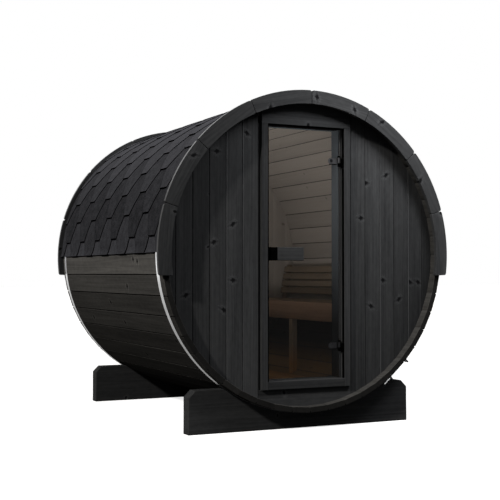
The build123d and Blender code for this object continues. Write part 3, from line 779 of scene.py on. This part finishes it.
class SAUNA_OT_trims(PieceOperator, bpy.types.Operator):
    """Curved trim boards on both ends, with rounded corners and open joints"""

    bl_idname = "sauna.trims"
    bl_label = "Trims"

    def execute(self, context):
        """Section in radius and y, carried along the angle; the lowest board ends level."""
        corner = context.scene.sauna_shell.trim_corner
        edge, joint, pitch = 0.002, 0.0009 / TRIM_R, radians(24.45)
        share = np.array([0, 0.04, 0.14, 0.3, 0.6, 1.0])
        near = corner * share
        cut = corner * (1 - np.sqrt(1 - np.square(1 - share)))
        ease = np.array([0.003, 0.0016, 0.0004, 0.0, 0.0, 0.0])
        middle = np.linspace(0, 1, 9)[1:-1]
        radii = np.array([TRIM_IN, TRIM_R, TRIM_R, TRIM_R, TRIM_R, TRIM_IN, TRIM_IN, TRIM_IN])
        is_outer = radii > (TRIM_IN + TRIM_R) / 2
        radii = radii + np.array([edge, -edge, 0, 0, -edge, edge, 0, 0])
        for end, y_low, y_high in (("front", FRONT, SHELL_LOW.y), ("rear", SHELL_HIGH.y, REAR)):
            depth = np.array([y_low, y_low, y_low + edge, y_high - edge, y_high, y_high, y_high - edge,
                              y_low + edge])
            for side, sign in (("left", -1), ("right", 1)):
                # The boards' tones carry painted light: lighter on the right, darker on the left
                boards, grains, tones = [], [], TRIM_TONE_AND_LIGHT[side]
                for board in range(len(tones)):
                    low = np.full(8, board * pitch + joint)
                    high = np.full(8, (board + 1) * pitch - joint)
                    if board == len(tones) - 1:
                        high = np.arccos(TRIM_FOOT / radii)
                    lengths = (high - low) * radii
                    corners = list(zip(near, cut, ease))
                    rows = [(n / lengths, inset, back) for n, inset, back in corners]
                    rows += [((near[-1] + m * (lengths - 2 * near[-1])) / lengths, 0.0, 0.0) for m in middle]
                    rows += [(1 - n / lengths, inset, back) for n, inset, back in reversed(corners)]
                    ring, grain = [], []
                    for part, inset, back in rows:
                        r = radii + np.where(is_outer, -inset, 0.35 * inset)
                        a = low + part * (high - low)
                        x, z = rim(r, a)
                        y = np.clip(depth, y_low + back, y_high - back)
                        turn = a - (board + 0.5) * pitch
                        ring.append(np.stack([sign * x, y, z], -1))
                        grain.append(np.stack([r * np.cos(turn), y, r * np.sin(turn)], -1))
                    boards.append(ring)
                    grains.append(grain)
                loft(f"{end}_trim_{side}_boards", boards, grain=grains, replaces=[f"{end}_trim_{side}"],
                     sawn=True, tone=0.12, shade=np.reshape(tones, (-1, 1, 1)),
                     knots=TRIM_KNOTS[side])
        return {"FINISHED"}


class SAUNA_OT_shingles(PieceOperator, bpy.types.Operator):
    """Rows of hexagonal shingles on both sides, an underlay and a ridge cap"""

    bl_idname = "sauna.shingles"
    bl_label = "Shingles"

    def execute(self, context):
        """Each tab is a wedge: half width w(s) grows from the tip over one row and shrinks
        over the next, and height h(s) falls evenly from the tip, with s up the slope."""
        roof = context.scene.sauna_roof
        row = roof.row_arc * STAVE_R
        tip_high, foot_high, thick = ROOF_TOP_R - ROOF_R - 0.0005, 0.0016, 0.0055
        tip_band, side_band, kick_arc = 0.006, 0.003, 0.045
        tab_rows, least_half, underlay = 2.1, 0.02, 0.0012
        first_tip = ROOF_ARC + radians(3.0)
        low_y, high_y = FRONT + TRIM_T + 0.0005, REAR - TRIM_T - 0.0005
        across = np.linspace(0, 1, 5)

        def kick(angle):
            """How far the eaves stand out: the square of the way along the last arc."""
            return roof.kick * np.square(np.clip(1 - (ROOF_ARC - angle) / kick_arc, 0, 1))

        for side, sign in (("left", -1), ("right", 1)):
            tabs, shades = [], []
            for course in range(roof.rows):
                tip = (first_tip - course * roof.row_arc) * STAVE_R
                reach = min(tab_rows * row, tip - 0.004)
                low = max(0.0, tip - ROOF_ARC * STAVE_R)
                slope = np.concatenate([[low, low + tip_band, low + tip_band + 0.0007],
                                        np.linspace(low + 0.03, row, 4), np.linspace(row, reach, 5)[1:]])
                half = roof.tip / 2 + roof.slant * np.minimum(slope, 2 * row - slope) / row
                half = np.maximum(half, least_half)
                start = roof.first if course % 2 else roof.first - roof.pitch / 2
                for centre in np.arange(start, REAR - FRONT, roof.pitch) + FRONT:
                    y_low = np.clip(centre - half, low_y, high_y)
                    y_high = np.clip(centre + half, low_y, high_y)
                    if (y_high - y_low).min() < 0.01:
                        continue
                    inner = (y_low + side_band)[:, None] + across * (y_high - y_low - 2 * side_band)[:, None]
                    y = np.concatenate([y_low[:, None], inner, y_high[:, None]], 1)
                    height = tip_high + (foot_high - tip_high) * slope / (tab_rows * row)
                    top = np.broadcast_to((ROOF_R + height)[:, None], y.shape)
                    base = np.broadcast_to(ROOF_R + np.maximum(height - thick, 0.0002)[:, None], y.shape)
                    angle = np.broadcast_to(((tip - slope) / STAVE_R)[:, None], y.shape)
                    a = np.concatenate([angle, angle[:, ::-1]], 1)
                    r = np.concatenate([top, base[:, ::-1]], 1) + kick(a)
                    x, z = rim(r, a)
                    tabs.append(np.stack([sign * x, np.concatenate([y, y[:, ::-1]], 1), z], -1))
                    # Painted shade: the tabs' sides and tips are darkened near black
                    shaded_rim = np.zeros(x.shape, bool)
                    shaded_rim[:, 0] = shaded_rim[:, y.shape[1] - 1:] = True
                    shaded_rim[slope < tip_band + 0.0003] = True
                    # Each row's painted light, lighter towards the ridge
                    shades.append(np.interp(course, list(ROW_SHADING), list(ROW_SHADING.values()))
                                  + JOINT_SHADE * shaded_rim)
            loft(f"roof_tabs_{side}", tabs, "bitumen shingle", replaces=[f"roof_shingles_{side}"],
                 tone=0.05, shade=np.array(shades), smooth=False)
            angle = np.linspace(0, ROOF_ARC, 81)[:, None]
            x, z = rim(ROOF_R + np.array([0, 0, underlay, underlay]) + kick(angle), angle)
            y = np.broadcast_to([low_y, high_y, high_y, low_y], x.shape)
            loft(f"roof_underlay_{side}", [np.stack([sign * x, y, z], -1)], "bitumen shingle")
        self.ridge(low_y, high_y)
        return {"FINISHED"}

    def ridge(self, low_y, high_y):
        """Caps bent over the ridge, each a wedge that rises along y over the next one."""
        caps = []
        pitch, reach, foot, near_high, far_high = 0.153, 0.2, 0.003, 0.0125, 0.0085
        angle = np.linspace(-0.125, 0.125, 11) / STAVE_R
        for start in np.arange(low_y, high_y - 0.05, pitch):
            rings = []
            for y, height in ((start, near_high), (min(start + reach, high_y), far_high)):
                base = np.full_like(angle, ROOF_R + foot)
                x, z = rim(np.concatenate([base + height - foot, base]),
                           np.concatenate([angle, angle[::-1]]))
                rings.append(np.stack([x, np.full_like(x, y), z], -1))
            caps.append(rings)
        loft("roof_ridge_caps", caps, "bitumen shingle", tone=0.15)


class SAUNA_OT_bands(PieceOperator, bpy.types.Operator):
    """Steel bands with lugs, threaded rods and nuts"""

    bl_idname = "sauna.bands"
    bl_label = "Bands"

    def execute(self, context):
        """The hoop's section in radius and y is carried from the lower lug round to the
        upper one."""
        thick, edge = 0.0015, 0.0004
        upper, lower = radians(132.5), radians(141.5)
        for end in ("front", "rear"):
            inwards = Vector((0, BAND_SHIFT if end == "front" else 0.0, 0))
            low, high = ((corner + inwards).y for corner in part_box(f"{end}_band"))
            y = np.array([low + edge, high - edge, high, high, high - edge, low + edge, low, low])
            r = STAVE_R + np.array([0, 0, edge, thick - edge, thick, thick, thick - edge, edge])
            angle = np.linspace(lower - 2 * np.pi, upper, 181)[:, None]
            x, z = rim(r, angle)
            hoop = np.stack([x, np.broadcast_to(y, x.shape), z], -1)
            loft(f"{end}_band_hoop", [hoop], "bright steel", replaces=[f"{end}_band"])
            lugs = [self.lug(a, STAVE_R + thick, low, high) for a in (upper, lower)]
            loft(f"{end}_band_lugs", lugs, "dark steel")
            self.rod(end, upper, lower, (low + high) / 2)
        return {"FINISHED"}

    def lug(self, angle, foot, low, high):
        """A plate that stands out at an angle, with its end chamfered."""
        head, half, edge = STAVE_R + 0.057, 0.004, 0.001
        rings = []
        for radius, grow in ((foot, 0.0), (foot + 0.004, 0.0), (head - edge, 0.0), (head, -edge)):
            offset = np.array([-1, 1, 1, -1]) * (half + grow)
            y = np.array([low - grow, low - grow, high + grow, high + grow])
            x = radius * np.sin(angle) + offset * np.cos(angle)
            z = AXIS + radius * np.cos(angle) - offset * np.sin(angle)
            rings.append(np.stack([x, y, z], -1))
        return rings

    def rod(self, end, upper, lower, y):
        """A threaded rod through both lugs: its radius follows a triangle wave along a
        helix. A nut sits on the far side of each lug."""
        radius, depth, thread_pitch, sides = 0.004, 0.00055, 0.00125, 10
        stand, before, beyond, step = 0.040, 0.024, 0.06, 0.00042
        ends = []
        for angle in (upper, lower):
            x, z = rim(STAVE_R + stand, angle)
            ends.append(np.array([x, y, z]))
        start, run = ends[0], ends[1] - ends[0]
        length = np.linalg.norm(run)
        steps = np.arange(-before, length + beyond, step)
        rod = turned(np.stack([steps, np.full_like(steps, radius)], 1), start, run, sides)
        phase = steps[:, None] / thread_pitch + np.arange(sides) / sides
        thread = np.abs((phase % 1) * 2 - 1) * depth
        middles = start + steps[:, None, None] * (run / length)
        rod = middles + (rod - middles) * (1 - thread[..., None] / radius)
        loft(f"{end}_rod", [rod], "rod steel", replaces=[f"{end}_band_rod"], smooth=False)
        nut = np.array([(0.0, 0.0068), (0.001, 0.008), (0.006, 0.008), (0.007, 0.0068)])
        nuts = [turned(nut + (seat, 0), start, run, 6) for seat in (-0.0103, length + 0.0033)]
        loft(f"{end}_nuts", nuts, "rod steel", smooth=False)


class SAUNA_OT_cradles(PieceOperator, bpy.types.Operator):
    """Cradle planks with a round seat and chamfered shoulders"""

    bl_idname = "sauna.cradles"
    bl_label = "Cradles"

    def execute(self, context):
        """Outline: the ground line, two chamfered shoulders and an arc of the barrel."""
        cut = 0.043
        for end in ("front", "rear"):
            low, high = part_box(f"cradle_{end}")
            reach = np.sqrt(STAVE_R ** 2 - (high.z - AXIS) ** 2)
            seat = np.linspace(reach, -reach, 49)
            outline = np.concatenate([
                [(low.x, 0.0), (high.x, 0.0), (high.x, high.z - cut), (high.x - cut, high.z)],
                np.stack([seat, AXIS - arc_z(seat, STAVE_R)], 1),
                [(low.x + cut, high.z), (low.x, high.z - cut)],
            ])
            slab(f"cradle_{end}_plank", outline, low.y, high.y, 0.003, replaces=[f"cradle_{end}"])
        return {"FINISHED"}


class SAUNA_OT_walls(PieceOperator, bpy.types.Operator):
    """Wall boards at both ends, with a groove at each seam"""

    bl_idname = "sauna.walls"
    bl_label = "End walls"

    def execute(self, context):
        """Upright boards whose ends lie on the circle z = axis +- sqrt(r^2 - x^2)."""
        shell = context.scene.sauna_shell
        reach, groove = CROZE_R - 0.002, 0.009
        y, rear_y = (WALL_LOW.y, WALL_HIGH.y), (REAR_WALL_LOW.y, REAR_WALL_HIGH.y)
        ends = {
            "low_end": lambda section: AXIS - arc_z(section[:, :, 0], reach),
            "high_end": lambda section: AXIS + arc_z(section[:, :, 0], reach),
        }
        for side, sign in (("left", -1), ("right", 1)):
            edges = sign * np.append(np.arange(BAY, reach, shell.board_pitch), reach - 0.001)
            spans = [[sorted(edge), y, (0, 2)] for edge in pairs(edges)]
            # Painted shade on the boards: darker towards the ring, and darker at one end along each board
            shade = (np.resize(BOARD_TONE_AND_SHADE[side], (len(spans), 1, 1))
                     + np.repeat(WALL_PAINTED_FADES[side], 2).reshape(1, 4, 1))
            knots = [(number, x, AXIS + z) for x, z in WALL_KNOTS for number, span in enumerate(spans)
                     if span[0][0] < x < span[0][1]]
            planks(f"front_wall_boards_{side}", spans, 2, 0, shell.board_seam, 3, WALL_GAPS[side], groove,
                   "front", **ends, replaces=[f"front_wall_{side}"], bare=True, tone=0.1, shade=shade,
                   knots=knots)
        # Painted highlight: a pale strip beside each of these joints stands in for its bevel lit by the sun
        strips = [[(x + 0.0012, x + 0.0072), (y[0] - 0.0003, y[0] + 0.004), (0, 2)] for x in LIT_SEAM_EDGES]
        planks("wall_tongues", strips, 2, 0, 0.0002, **ends, tone=0.0, shade=1.4)
        edges = np.concatenate([[-reach + 0.001], np.arange(-8, 9) * shell.board_pitch, [reach - 0.001]])
        planks("rear_wall_boards", [[edge, rear_y, (0, 2)] for edge in pairs(edges)], 2, 0,
               shell.board_seam, 3, 0.0013, groove, "back", **ends, look="rear wall wood",
               replaces=["rear_wall"], bare=True, tone=0.15)
        across = np.linspace(-BAY + 0.0005, BAY - 0.0005, 25)
        outline = np.concatenate([[(across[-1], SILL_LOW.z), (across[0], SILL_LOW.z)],
                                  np.stack([across, AXIS - arc_z(across, reach)], 1)])
        slab("sill_board", outline, *y, 0.002, replaces=["front_sill_board"])
        return {"FINISHED"}


class SAUNA_OT_frame(PieceOperator, bpy.types.Operator):
    """Door frame: header board, stiles and sill rail"""

    bl_idname = "sauna.frame"
    bl_label = "Door frame"

    def execute(self, context):
        """The header's top follows the lining; a stile is its lip and its deeper flange."""
        low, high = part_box("front_header")
        across = np.linspace(LIP - 0.0005, -LIP + 0.0005, 25)
        outline = np.concatenate([[(across[-1], DOOR_TOP), (across[0], DOOR_TOP)],
                                  np.stack([across, AXIS + arc_z(across, LINING_R - 0.0005)], 1)])
        slab("header_board", outline, low.y, WALL_HIGH.y, 0.0018, replaces=["front_header"])
        planks("head_rail", [[(-BAY, BAY), (WALL_HIGH.y, high.y), (DOOR_TOP, DOOR_TOP + 0.045)]], 0, 1, 0.002)
        flange, z = STILE_LOW.y + 0.026, (STILE_LOW.z, STILE_HIGH.z)
        for side, sign in (("left", -1), ("right", 1)):
            spans = [[sorted((sign * DOORWAY, sign * LIP)), (STILE_LOW.y, flange), z],
                     [sorted((sign * DOORWAY, sign * BAY)), (flange, STILE_HIGH.y), z]]
            planks(f"stile_{side}", spans, 2, 0, 0.0018, replaces=[f"frame_stile_{side}"], tone=0.2)
        self.seals(flange)
        self.linings()
        planks("sill_rail", [list(zip(SILL_LOW, SILL_HIGH))], 0, 1, 0.002, replaces=["frame_sill"])
        return {"FINISHED"}

    def seals(self, flange):
        """Black strips on the lips' inner faces, left out behind the hinge plates."""
        low, high = DOOR_TOP - 1.607, DOOR_TOP - 0.001
        stops = [low, AXIS - 0.634, AXIS - 0.566, AXIS + 0.556, AXIS + 0.624, high]
        y = (STILE_LOW.y + 0.002, flange)
        spans = [[(-DOORWAY - 0.0045, -DOORWAY + 0.0018), (STILE_LOW.y - 0.0004, flange), (low, high)]]
        spans += [[(DOORWAY - 0.0018, DOORWAY), y, z] for z in pairs(stops)[::2]]
        planks("frame_seals", spans, 2, 1, 0.0004, look="black plastic")

    def linings(self):
        """Thin boards round the doorway behind the glass, pale with painted light and darker downwards with
        painted shade, and a black strip under the head that paints the shade of its underside.
        """
        edge, thick = 0.0003, 0.0015
        back, start = STILE_HIGH.y - 0.001, GLASS_HIGH.y + 0.02
        head_start, head_x = start + 0.05, (-DOORWAY + 0.002, DOORWAY - 0.002)
        sides = [[sorted((sign * DOORWAY, sign * (DOORWAY - thick))), (start, back), (SILL_HIGH.z, DOOR_TOP)]
                 for sign in (-1, 1)]
        head = [[head_x, (head_start, back), (DOOR_TOP - thick, DOOR_TOP)]]
        # Painted shade: a black strip under the head, where its underside lies in shade
        strip = [[head_x, (STILE_LOW.y + 0.003, head_start), (DOOR_TOP - 0.0012, DOOR_TOP + 0.0003)]]
        planks("reveal_linings", sides, 2, 1, edge, look="reveal wood", bare=True, tone=0.0)
        planks("head_lining", head, 0, 1, edge, look="reveal wood", bare=True, tone=0.0)
        planks("head_seal", strip, 0, 1, edge, look="black plastic")


class SAUNA_OT_door(PieceOperator, bpy.types.Operator):
    """Glass door with its hinges and its handle"""

    bl_idname = "sauna.door"
    bl_label = "Door"

    def execute(self, context):
        """The pane is a plank of glass between a dark edge and a steel one."""
        y, z, edge = (GLASS_LOW.y, GLASS_HIGH.y), (GLASS_LOW.z, GLASS_HIGH.z), 0.0008
        left, right = GLASS_LOW.x + 0.004, GLASS_HIGH.x - 0.003
        for name, x, look, nodes in (
            ("pane_edge_left", (GLASS_LOW.x, left), "black plastic", ()),
            ("pane_edge_right", (right, GLASS_HIGH.x), "brushed steel", ()),
            ("door_pane", (left, right), "bronze glass", ["glass_door"]),
        ):
            planks(name, [[x, y, z]], 2, 0, edge, look=look, body="door", replaces=nodes)
        self.hinges()
        self.handle()
        return {"FINISHED"}

    def hinges(self):
        """Leaf and knuckle on the door, plate and knuckle on the jamb, at two heights. A
        leaf is an outline with a half round end and a notch beside the knuckle."""
        up, front, back = (0, 0, 1), GLASS_LOW.y - 0.005, GLASS_LOW.y - 0.0001
        round_x, screw_x, notch_x, end_x, jamb_x = 0.178, 0.2, 0.241, 0.2535, 0.2705
        disc = [(0.0, 0.0115), (0.0012, 0.0115), (0.0024, 0.0095), (0.0028, 0.004)]
        plate_y = (STILE_LOW.y + 0.001, STILE_LOW.y + 0.034)
        arm_y = (STILE_LOW.y + 0.026, STILE_LOW.y + 0.034)
        plates, arms, jamb, caps, leaf_shadows = [], [], [], [], []
        # The lower hinge is in the darker steel, as painted shade
        for number, middle, steel in ((1, HINGES[0], "brushed steel"), (2, HINGES[1], "dark steel")):
            pin = (PIN_X, PIN_Y, middle)
            low, high = middle - 0.005, middle + 0.033
            half, centre = (high - low) / 2, (low + high) / 2
            turn = np.linspace(np.pi / 2, 3 * np.pi / 2, 17)
            round_end = np.stack([round_x + half + half * np.cos(turn), centre + half * np.sin(turn)], 1)
            outline = np.concatenate([round_end, [(notch_x, low), (notch_x, middle + 0.002),
                                                  (end_x, middle + 0.002), (end_x, high)]])
            slab(f"hinge_leaf_{number}", outline, front, back, 0.001, look=steel, body="door",
                 replaces=["door_hinge_leaves"] if number == 1 else ())
            loft(f"hinge_knuckle_{number}", [turned(drum(0.002, 0.036, 0.0012), pin, up)], steel, body="door")
            loft(f"hinge_screw_{number}", [turned(disc, (screw_x, front, centre), (0, -1, 0))], "dark steel",
                 body="door")
            caps.append(turned(drum(0.036, 0.048, 0.0008), pin, up))
            # Painted shadow: a black strip under each leaf
            leaf_shadows.append([(0.187, 0.2435), (front + 0.0005, back), (low - 0.0055, low)])
            jamb.append(turned(drum(-0.022, 0.0, 0.0012), pin, up))
            plates.append([(jamb_x, DOORWAY), plate_y, (middle - 0.032, middle + 0.032)])
            arms.append([(end_x, jamb_x), arm_y, (middle - 0.022, middle)])
        loft("hinge_caps", caps, "black plastic", body="door")
        planks("hinge_undersides", leaf_shadows, 0, 2, 0.0005, look="black plastic", body="door")
        on_jamb = {"look": "black plastic", "slot": "brushed_steel"}
        planks("jamb_plates", plates, 2, 1, 0.0006, replaces=["jamb_hinge_plates"], **on_jamb)
        planks("jamb_arms", arms, 2, 0, 0.0006, **on_jamb)
        loft("jamb_knuckles", jamb, **on_jamb)

    def handle(self):
        """A block with a level grip board, held off the glass by a spacer."""
        planks("handle_end_block", [list(zip(*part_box("handle_block")))], 1, 0, 0.002, look="black plastic",
               body="door", replaces=["handle_block"])
        low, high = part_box("handle_grip")
        thick = 0.018
        planks("handle_grip_board", [[(low.x, high.x), (low.y, low.y + thick), (low.z, high.z)]], 0, 2, 0.003,
               body="door", replaces=["handle_grip"])
        spacer = turned(drum(thick, high.y - low.y, 0.0006), (high.x - 0.022, low.y, AXIS), (0, 1, 0))
        loft("handle_spacer", [spacer], "black plastic", body="door")


class SAUNA_OT_cabin(PieceOperator, bpy.types.Operator):
    """Floor, bench and backrest inside the cabin"""

    bl_idname = "sauna.cabin"
    bl_label = "Cabin"

    def execute(self, context):
        """Boards along y between the end walls; edges that meet the barrel follow it."""
        y = (WALL_HIGH.y + 0.0005, REAR_WALL_LOW.y - 0.0005)
        bare = {"look": "inside wood", "bare": True}
        edges = np.linspace(FLOOR_LOW.x + 0.012, FLOOR_HIGH.x - 0.012, 9)
        spans = [[edge, y, (FLOOR_LOW.z + 0.006, FLOOR_HIGH.z)] for edge in pairs(edges)]
        planks("floor_planks", spans, 1, 0, 0.002, replaces=["floor_boards"], **bare)
        edges = np.linspace(SEAT_LOW.x + 0.001, SEAT_HIGH.x, 6)
        spans = [[(a, b - 0.006), y, (SEAT_LOW.z, SEAT_HIGH.z)] for a, b in pairs(edges)]
        planks("seat_slats", spans, 1, 0, 0.003, replaces=["bench_seat"], **bare)
        spans = [[(APRON_LOW.x, APRON_HIGH.x), y, (APRON_LOW.z, APRON_HIGH.z)]]
        planks("apron_board", spans, 1, 2, 0.003, replaces=["bench_apron"], look="apron wood", bare=True)
        low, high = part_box("bench_bearers")
        spans = [[(low.x, high.x), place, (low.z, high.z)] for place in self.places(y, low, high)]
        planks("seat_bearers", spans, 0, 2, parts=3, replaces=["bench_bearers"],
               high_end=lambda section: arc_z(section[:, :, 2] - AXIS, LINING_R - 0.001), **bare)
        planks("seat_leg", [list(zip(*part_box("bench_leg")))], 2, 0, 0.002, replaces=["bench_leg"],
               low_end=lambda section: AXIS - arc_z(section[:, :, 0], LINING_R - 0.001), **bare)
        slat_low, slat_high, pitch, count = 0.068, 0.115, 0.058, 4
        slats = [(y, (slat_low + i * pitch, slat_high + i * pitch), (-0.022, 0.0)) for i in range(count)]
        self.leaning("backrest_slats", slats, 0.003, replaces=["bench_backrest"], **bare)
        places = self.places(y, *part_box("backrest_posts"))
        posts = [(place, (0.030, 0.310), (0.0, 0.026)) for place in places]
        self.leaning("backrest_uprights", posts, 0.002, replaces=["backrest_posts"], **bare)
        return {"FINISHED"}

    def places(self, y, low, high):
        """Where the bearers and posts stand along y: at both ends and in the middle."""
        return (y[0], low.y + 0.045), (-0.0225, 0.0225), (high.y - 0.045, y[1])

    def leaning(self, name, parts, chamfer, **options):
        """Boards in a plane that leans back from the seat: the point at a up the plane
        and b behind it is foot + a (sin t, cos t) + b (cos t, -sin t), in x and z."""
        lean = radians(10.5)
        foot = np.array([0.848, 0.0, SEAT_LOW.z])
        up = np.array([np.sin(lean), 0.0, np.cos(lean)])
        out = np.array([np.cos(lean), 0.0, -np.sin(lean)])
        outline = plank_outline(1)
        rings, grain = [], []
        for (near, far), (low, high), (front, back) in parts:
            climb = low + outline[:, 0] * (high - low) + outline[:, 1] * chamfer
            stand = front + outline[:, 3] * (back - front) + outline[:, 4] * chamfer
            ring, grains = [], []
            for place, is_end in ((near, 1), (near + chamfer, 0), (far - chamfer, 0), (far, 1)):
                inset = 0.7 * chamfer * is_end
                a = np.clip(climb, low + inset, high - inset)
                b = np.clip(stand, front + inset, back - inset)
                points = foot + a[:, None] * up + b[:, None] * out
                points[:, 1] = place
                ring.append(points)
                grains.append(np.stack([a, b, np.full_like(a, place)], -1))
            rings.append(ring)
            grain.append(grains)
        loft(name, rings, grain=grain, **options)


class SAUNA_OT_stage(PieceOperator, bpy.types.Operator):
    """Pale floor, soft light and the camera"""

    bl_idname = "sauna.stage"
    bl_label = "Stage"

    def execute(self, context):
        """A sun from the left, a soft lamp at the right, one in the cabin and the camera."""
        scene = context.scene
        light = scene.sauna_stage
        scene.view_settings.view_transform = "Standard"
        self.floor()
        self.sky(scene, light.sky)
        self.lamp("key lamp", "SUN", light.key, (0.784, 0.284, -0.552), (1.0, 0.96, 0.9), angle=radians(3.0))
        self.lamp("soft lamp", "AREA", light.fill, (0.42, 2.76, -1.76), (1, 1, 1), (1.1, -2.29, 3.46),
                  shape="RECTANGLE", size=1.2, size_y=1.2)
        self.lamp("cabin lamp", "AREA", light.cabin, (0, 0, 1), (1.0, 0.98, 0.96), (-0.45, -0.1, 0.6),
                  shape="RECTANGLE", size=0.3, size_y=0.9)
        camera = bpy.data.objects.new("camera", bpy.data.cameras.new("camera"))
        camera.data.lens = CAMERA_LENS
        camera.data.sensor_width = CAMERA_SENSOR
        camera.location = CAMERA_PLACE
        camera.rotation_euler = CAMERA_TURN
        scene.collection.objects.link(camera)
        scene.camera = camera
        return {"FINISHED"}

    def floor(self):
        """A plane that shows white and keeps the shadow, and gives little light back."""
        mesh = bpy.data.meshes.new("floor")
        mesh.from_pydata([(-60, -60, 0), (60, -60, 0), (60, 60, 0), (-60, 60, 0)], [], [(0, 1, 2, 3)])
        material = bpy.data.materials.new("pale floor")
        material.use_nodes = True
        nodes = material.node_tree.nodes
        nodes.remove(nodes["Principled BSDF"])
        b = Board(material.node_tree)
        seen = self.seen(b)
        tint = b.mix(seen, (0.06, 0.06, 0.06), (0.8, 0.8, 0.8))
        plain = b.node("ShaderNodeBsdfDiffuse", {"Color": tint})
        glow = b.node("ShaderNodeEmission", {"Color": (1, 1, 1, 1), "Strength": b.times(seen, 0.75)})
        both = b.node("ShaderNodeAddShader", {0: plain.outputs[0], 1: glow.outputs[0]})
        b.link(both.outputs[0], nodes["Material Output"], "Surface")
        mesh.materials.append(material)
        floor = bpy.data.objects.new("floor", mesh)
        bpy.context.scene.collection.objects.link(floor)

    def seen(self, b):
        """1 for camera, glossy and transmission rays."""
        path = b.node("ShaderNodeLightPath").outputs
        share = b.plus(path["Is Camera Ray"], path["Is Glossy Ray"], clamp=True)
        return b.plus(share, path["Is Transmission Ray"], clamp=True)

    def sky(self, scene, strength):
        """White where it is seen, and elsewhere a light that grows with the height z of
        its direction, from an eighth at the horizon to the whole overhead."""
        world = bpy.data.worlds.new("sky")
        scene.world = world
        world.use_nodes = True
        b = Board(world.node_tree)
        background = world.node_tree.nodes["Background"]
        background.inputs["Color"].default_value = (1, 1, 1, 1)
        height = b.part(b.node("ShaderNodeTexCoord").outputs["Generated"], "Z")
        even = b.ramp(height, 0.0, 1.0, 0.12 * strength, strength)
        b.link(b.math("MAXIMUM", self.seen(b), even), background, "Strength")

    def lamp(self, name, kind, energy, direction, colour, place=(0, 0, 0), **settings):
        """A lamp that shines along the direction and isn't seen itself."""
        lamp = bpy.data.lights.new(name, kind)
        lamp.energy = energy
        lamp.color = colour
        for key, value in settings.items():
            setattr(lamp, key, value)
        made = bpy.data.objects.new(name, lamp)
        made.location = place
        made.rotation_euler = Vector(direction).to_track_quat("-Z", "Y").to_euler()
        if kind == "AREA":
            made.visible_camera = made.visible_glossy = made.visible_transmission = False
        bpy.context.scene.collection.objects.link(made)


PIECES = (
    SAUNA_OT_staves, SAUNA_OT_trims, SAUNA_OT_shingles, SAUNA_OT_bands, SAUNA_OT_cradles,
    SAUNA_OT_walls, SAUNA_OT_frame, SAUNA_OT_door, SAUNA_OT_cabin, SAUNA_OT_stage,
)


class SAUNA_PT_panel(bpy.types.Panel):
    """The sauna's settings and pieces"""

    bl_label = "Barrel sauna"
    bl_idname = "SAUNA_PT_panel"
    bl_space_type = "VIEW_3D"
    bl_region_type = "UI"
    bl_category = "Sauna"

    def draw(self, context):
        for name, _ in SETTINGS:
            settings = getattr(context.scene, name)
            box = self.layout.box()
            for key in settings.__annotations__:
                box.prop(settings, key)
        for piece in PIECES:
            self.layout.operator(piece.bl_idname)


SETTINGS = (
    ("sauna_shell", SaunaShell), ("sauna_roof", SaunaRoof),
    ("sauna_finish", SaunaFinish), ("sauna_stage", SaunaStage),
)


def register():
    """Registers the settings, the operators and the panel."""
    for key, group in SETTINGS:
        bpy.utils.register_class(group)
        setattr(bpy.types.Scene, key, PointerProperty(type=group))
    for piece in PIECES:
        bpy.utils.register_class(piece)
    bpy.utils.register_class(SAUNA_PT_panel)


def unregister():
    """Takes them out again, in the opposite order."""
    bpy.utils.unregister_class(SAUNA_PT_panel)
    for piece in reversed(PIECES):
        bpy.utils.unregister_class(piece)
    for key, group in reversed(SETTINGS):
        delattr(bpy.types.Scene, key)
        bpy.utils.unregister_class(group)


def main():
    """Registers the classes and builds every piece."""
    register()
    for piece in PIECES:
        getattr(bpy.ops.sauna, piece.bl_idname.split(".")[1])()


if __name__ == "__main__":
    main()
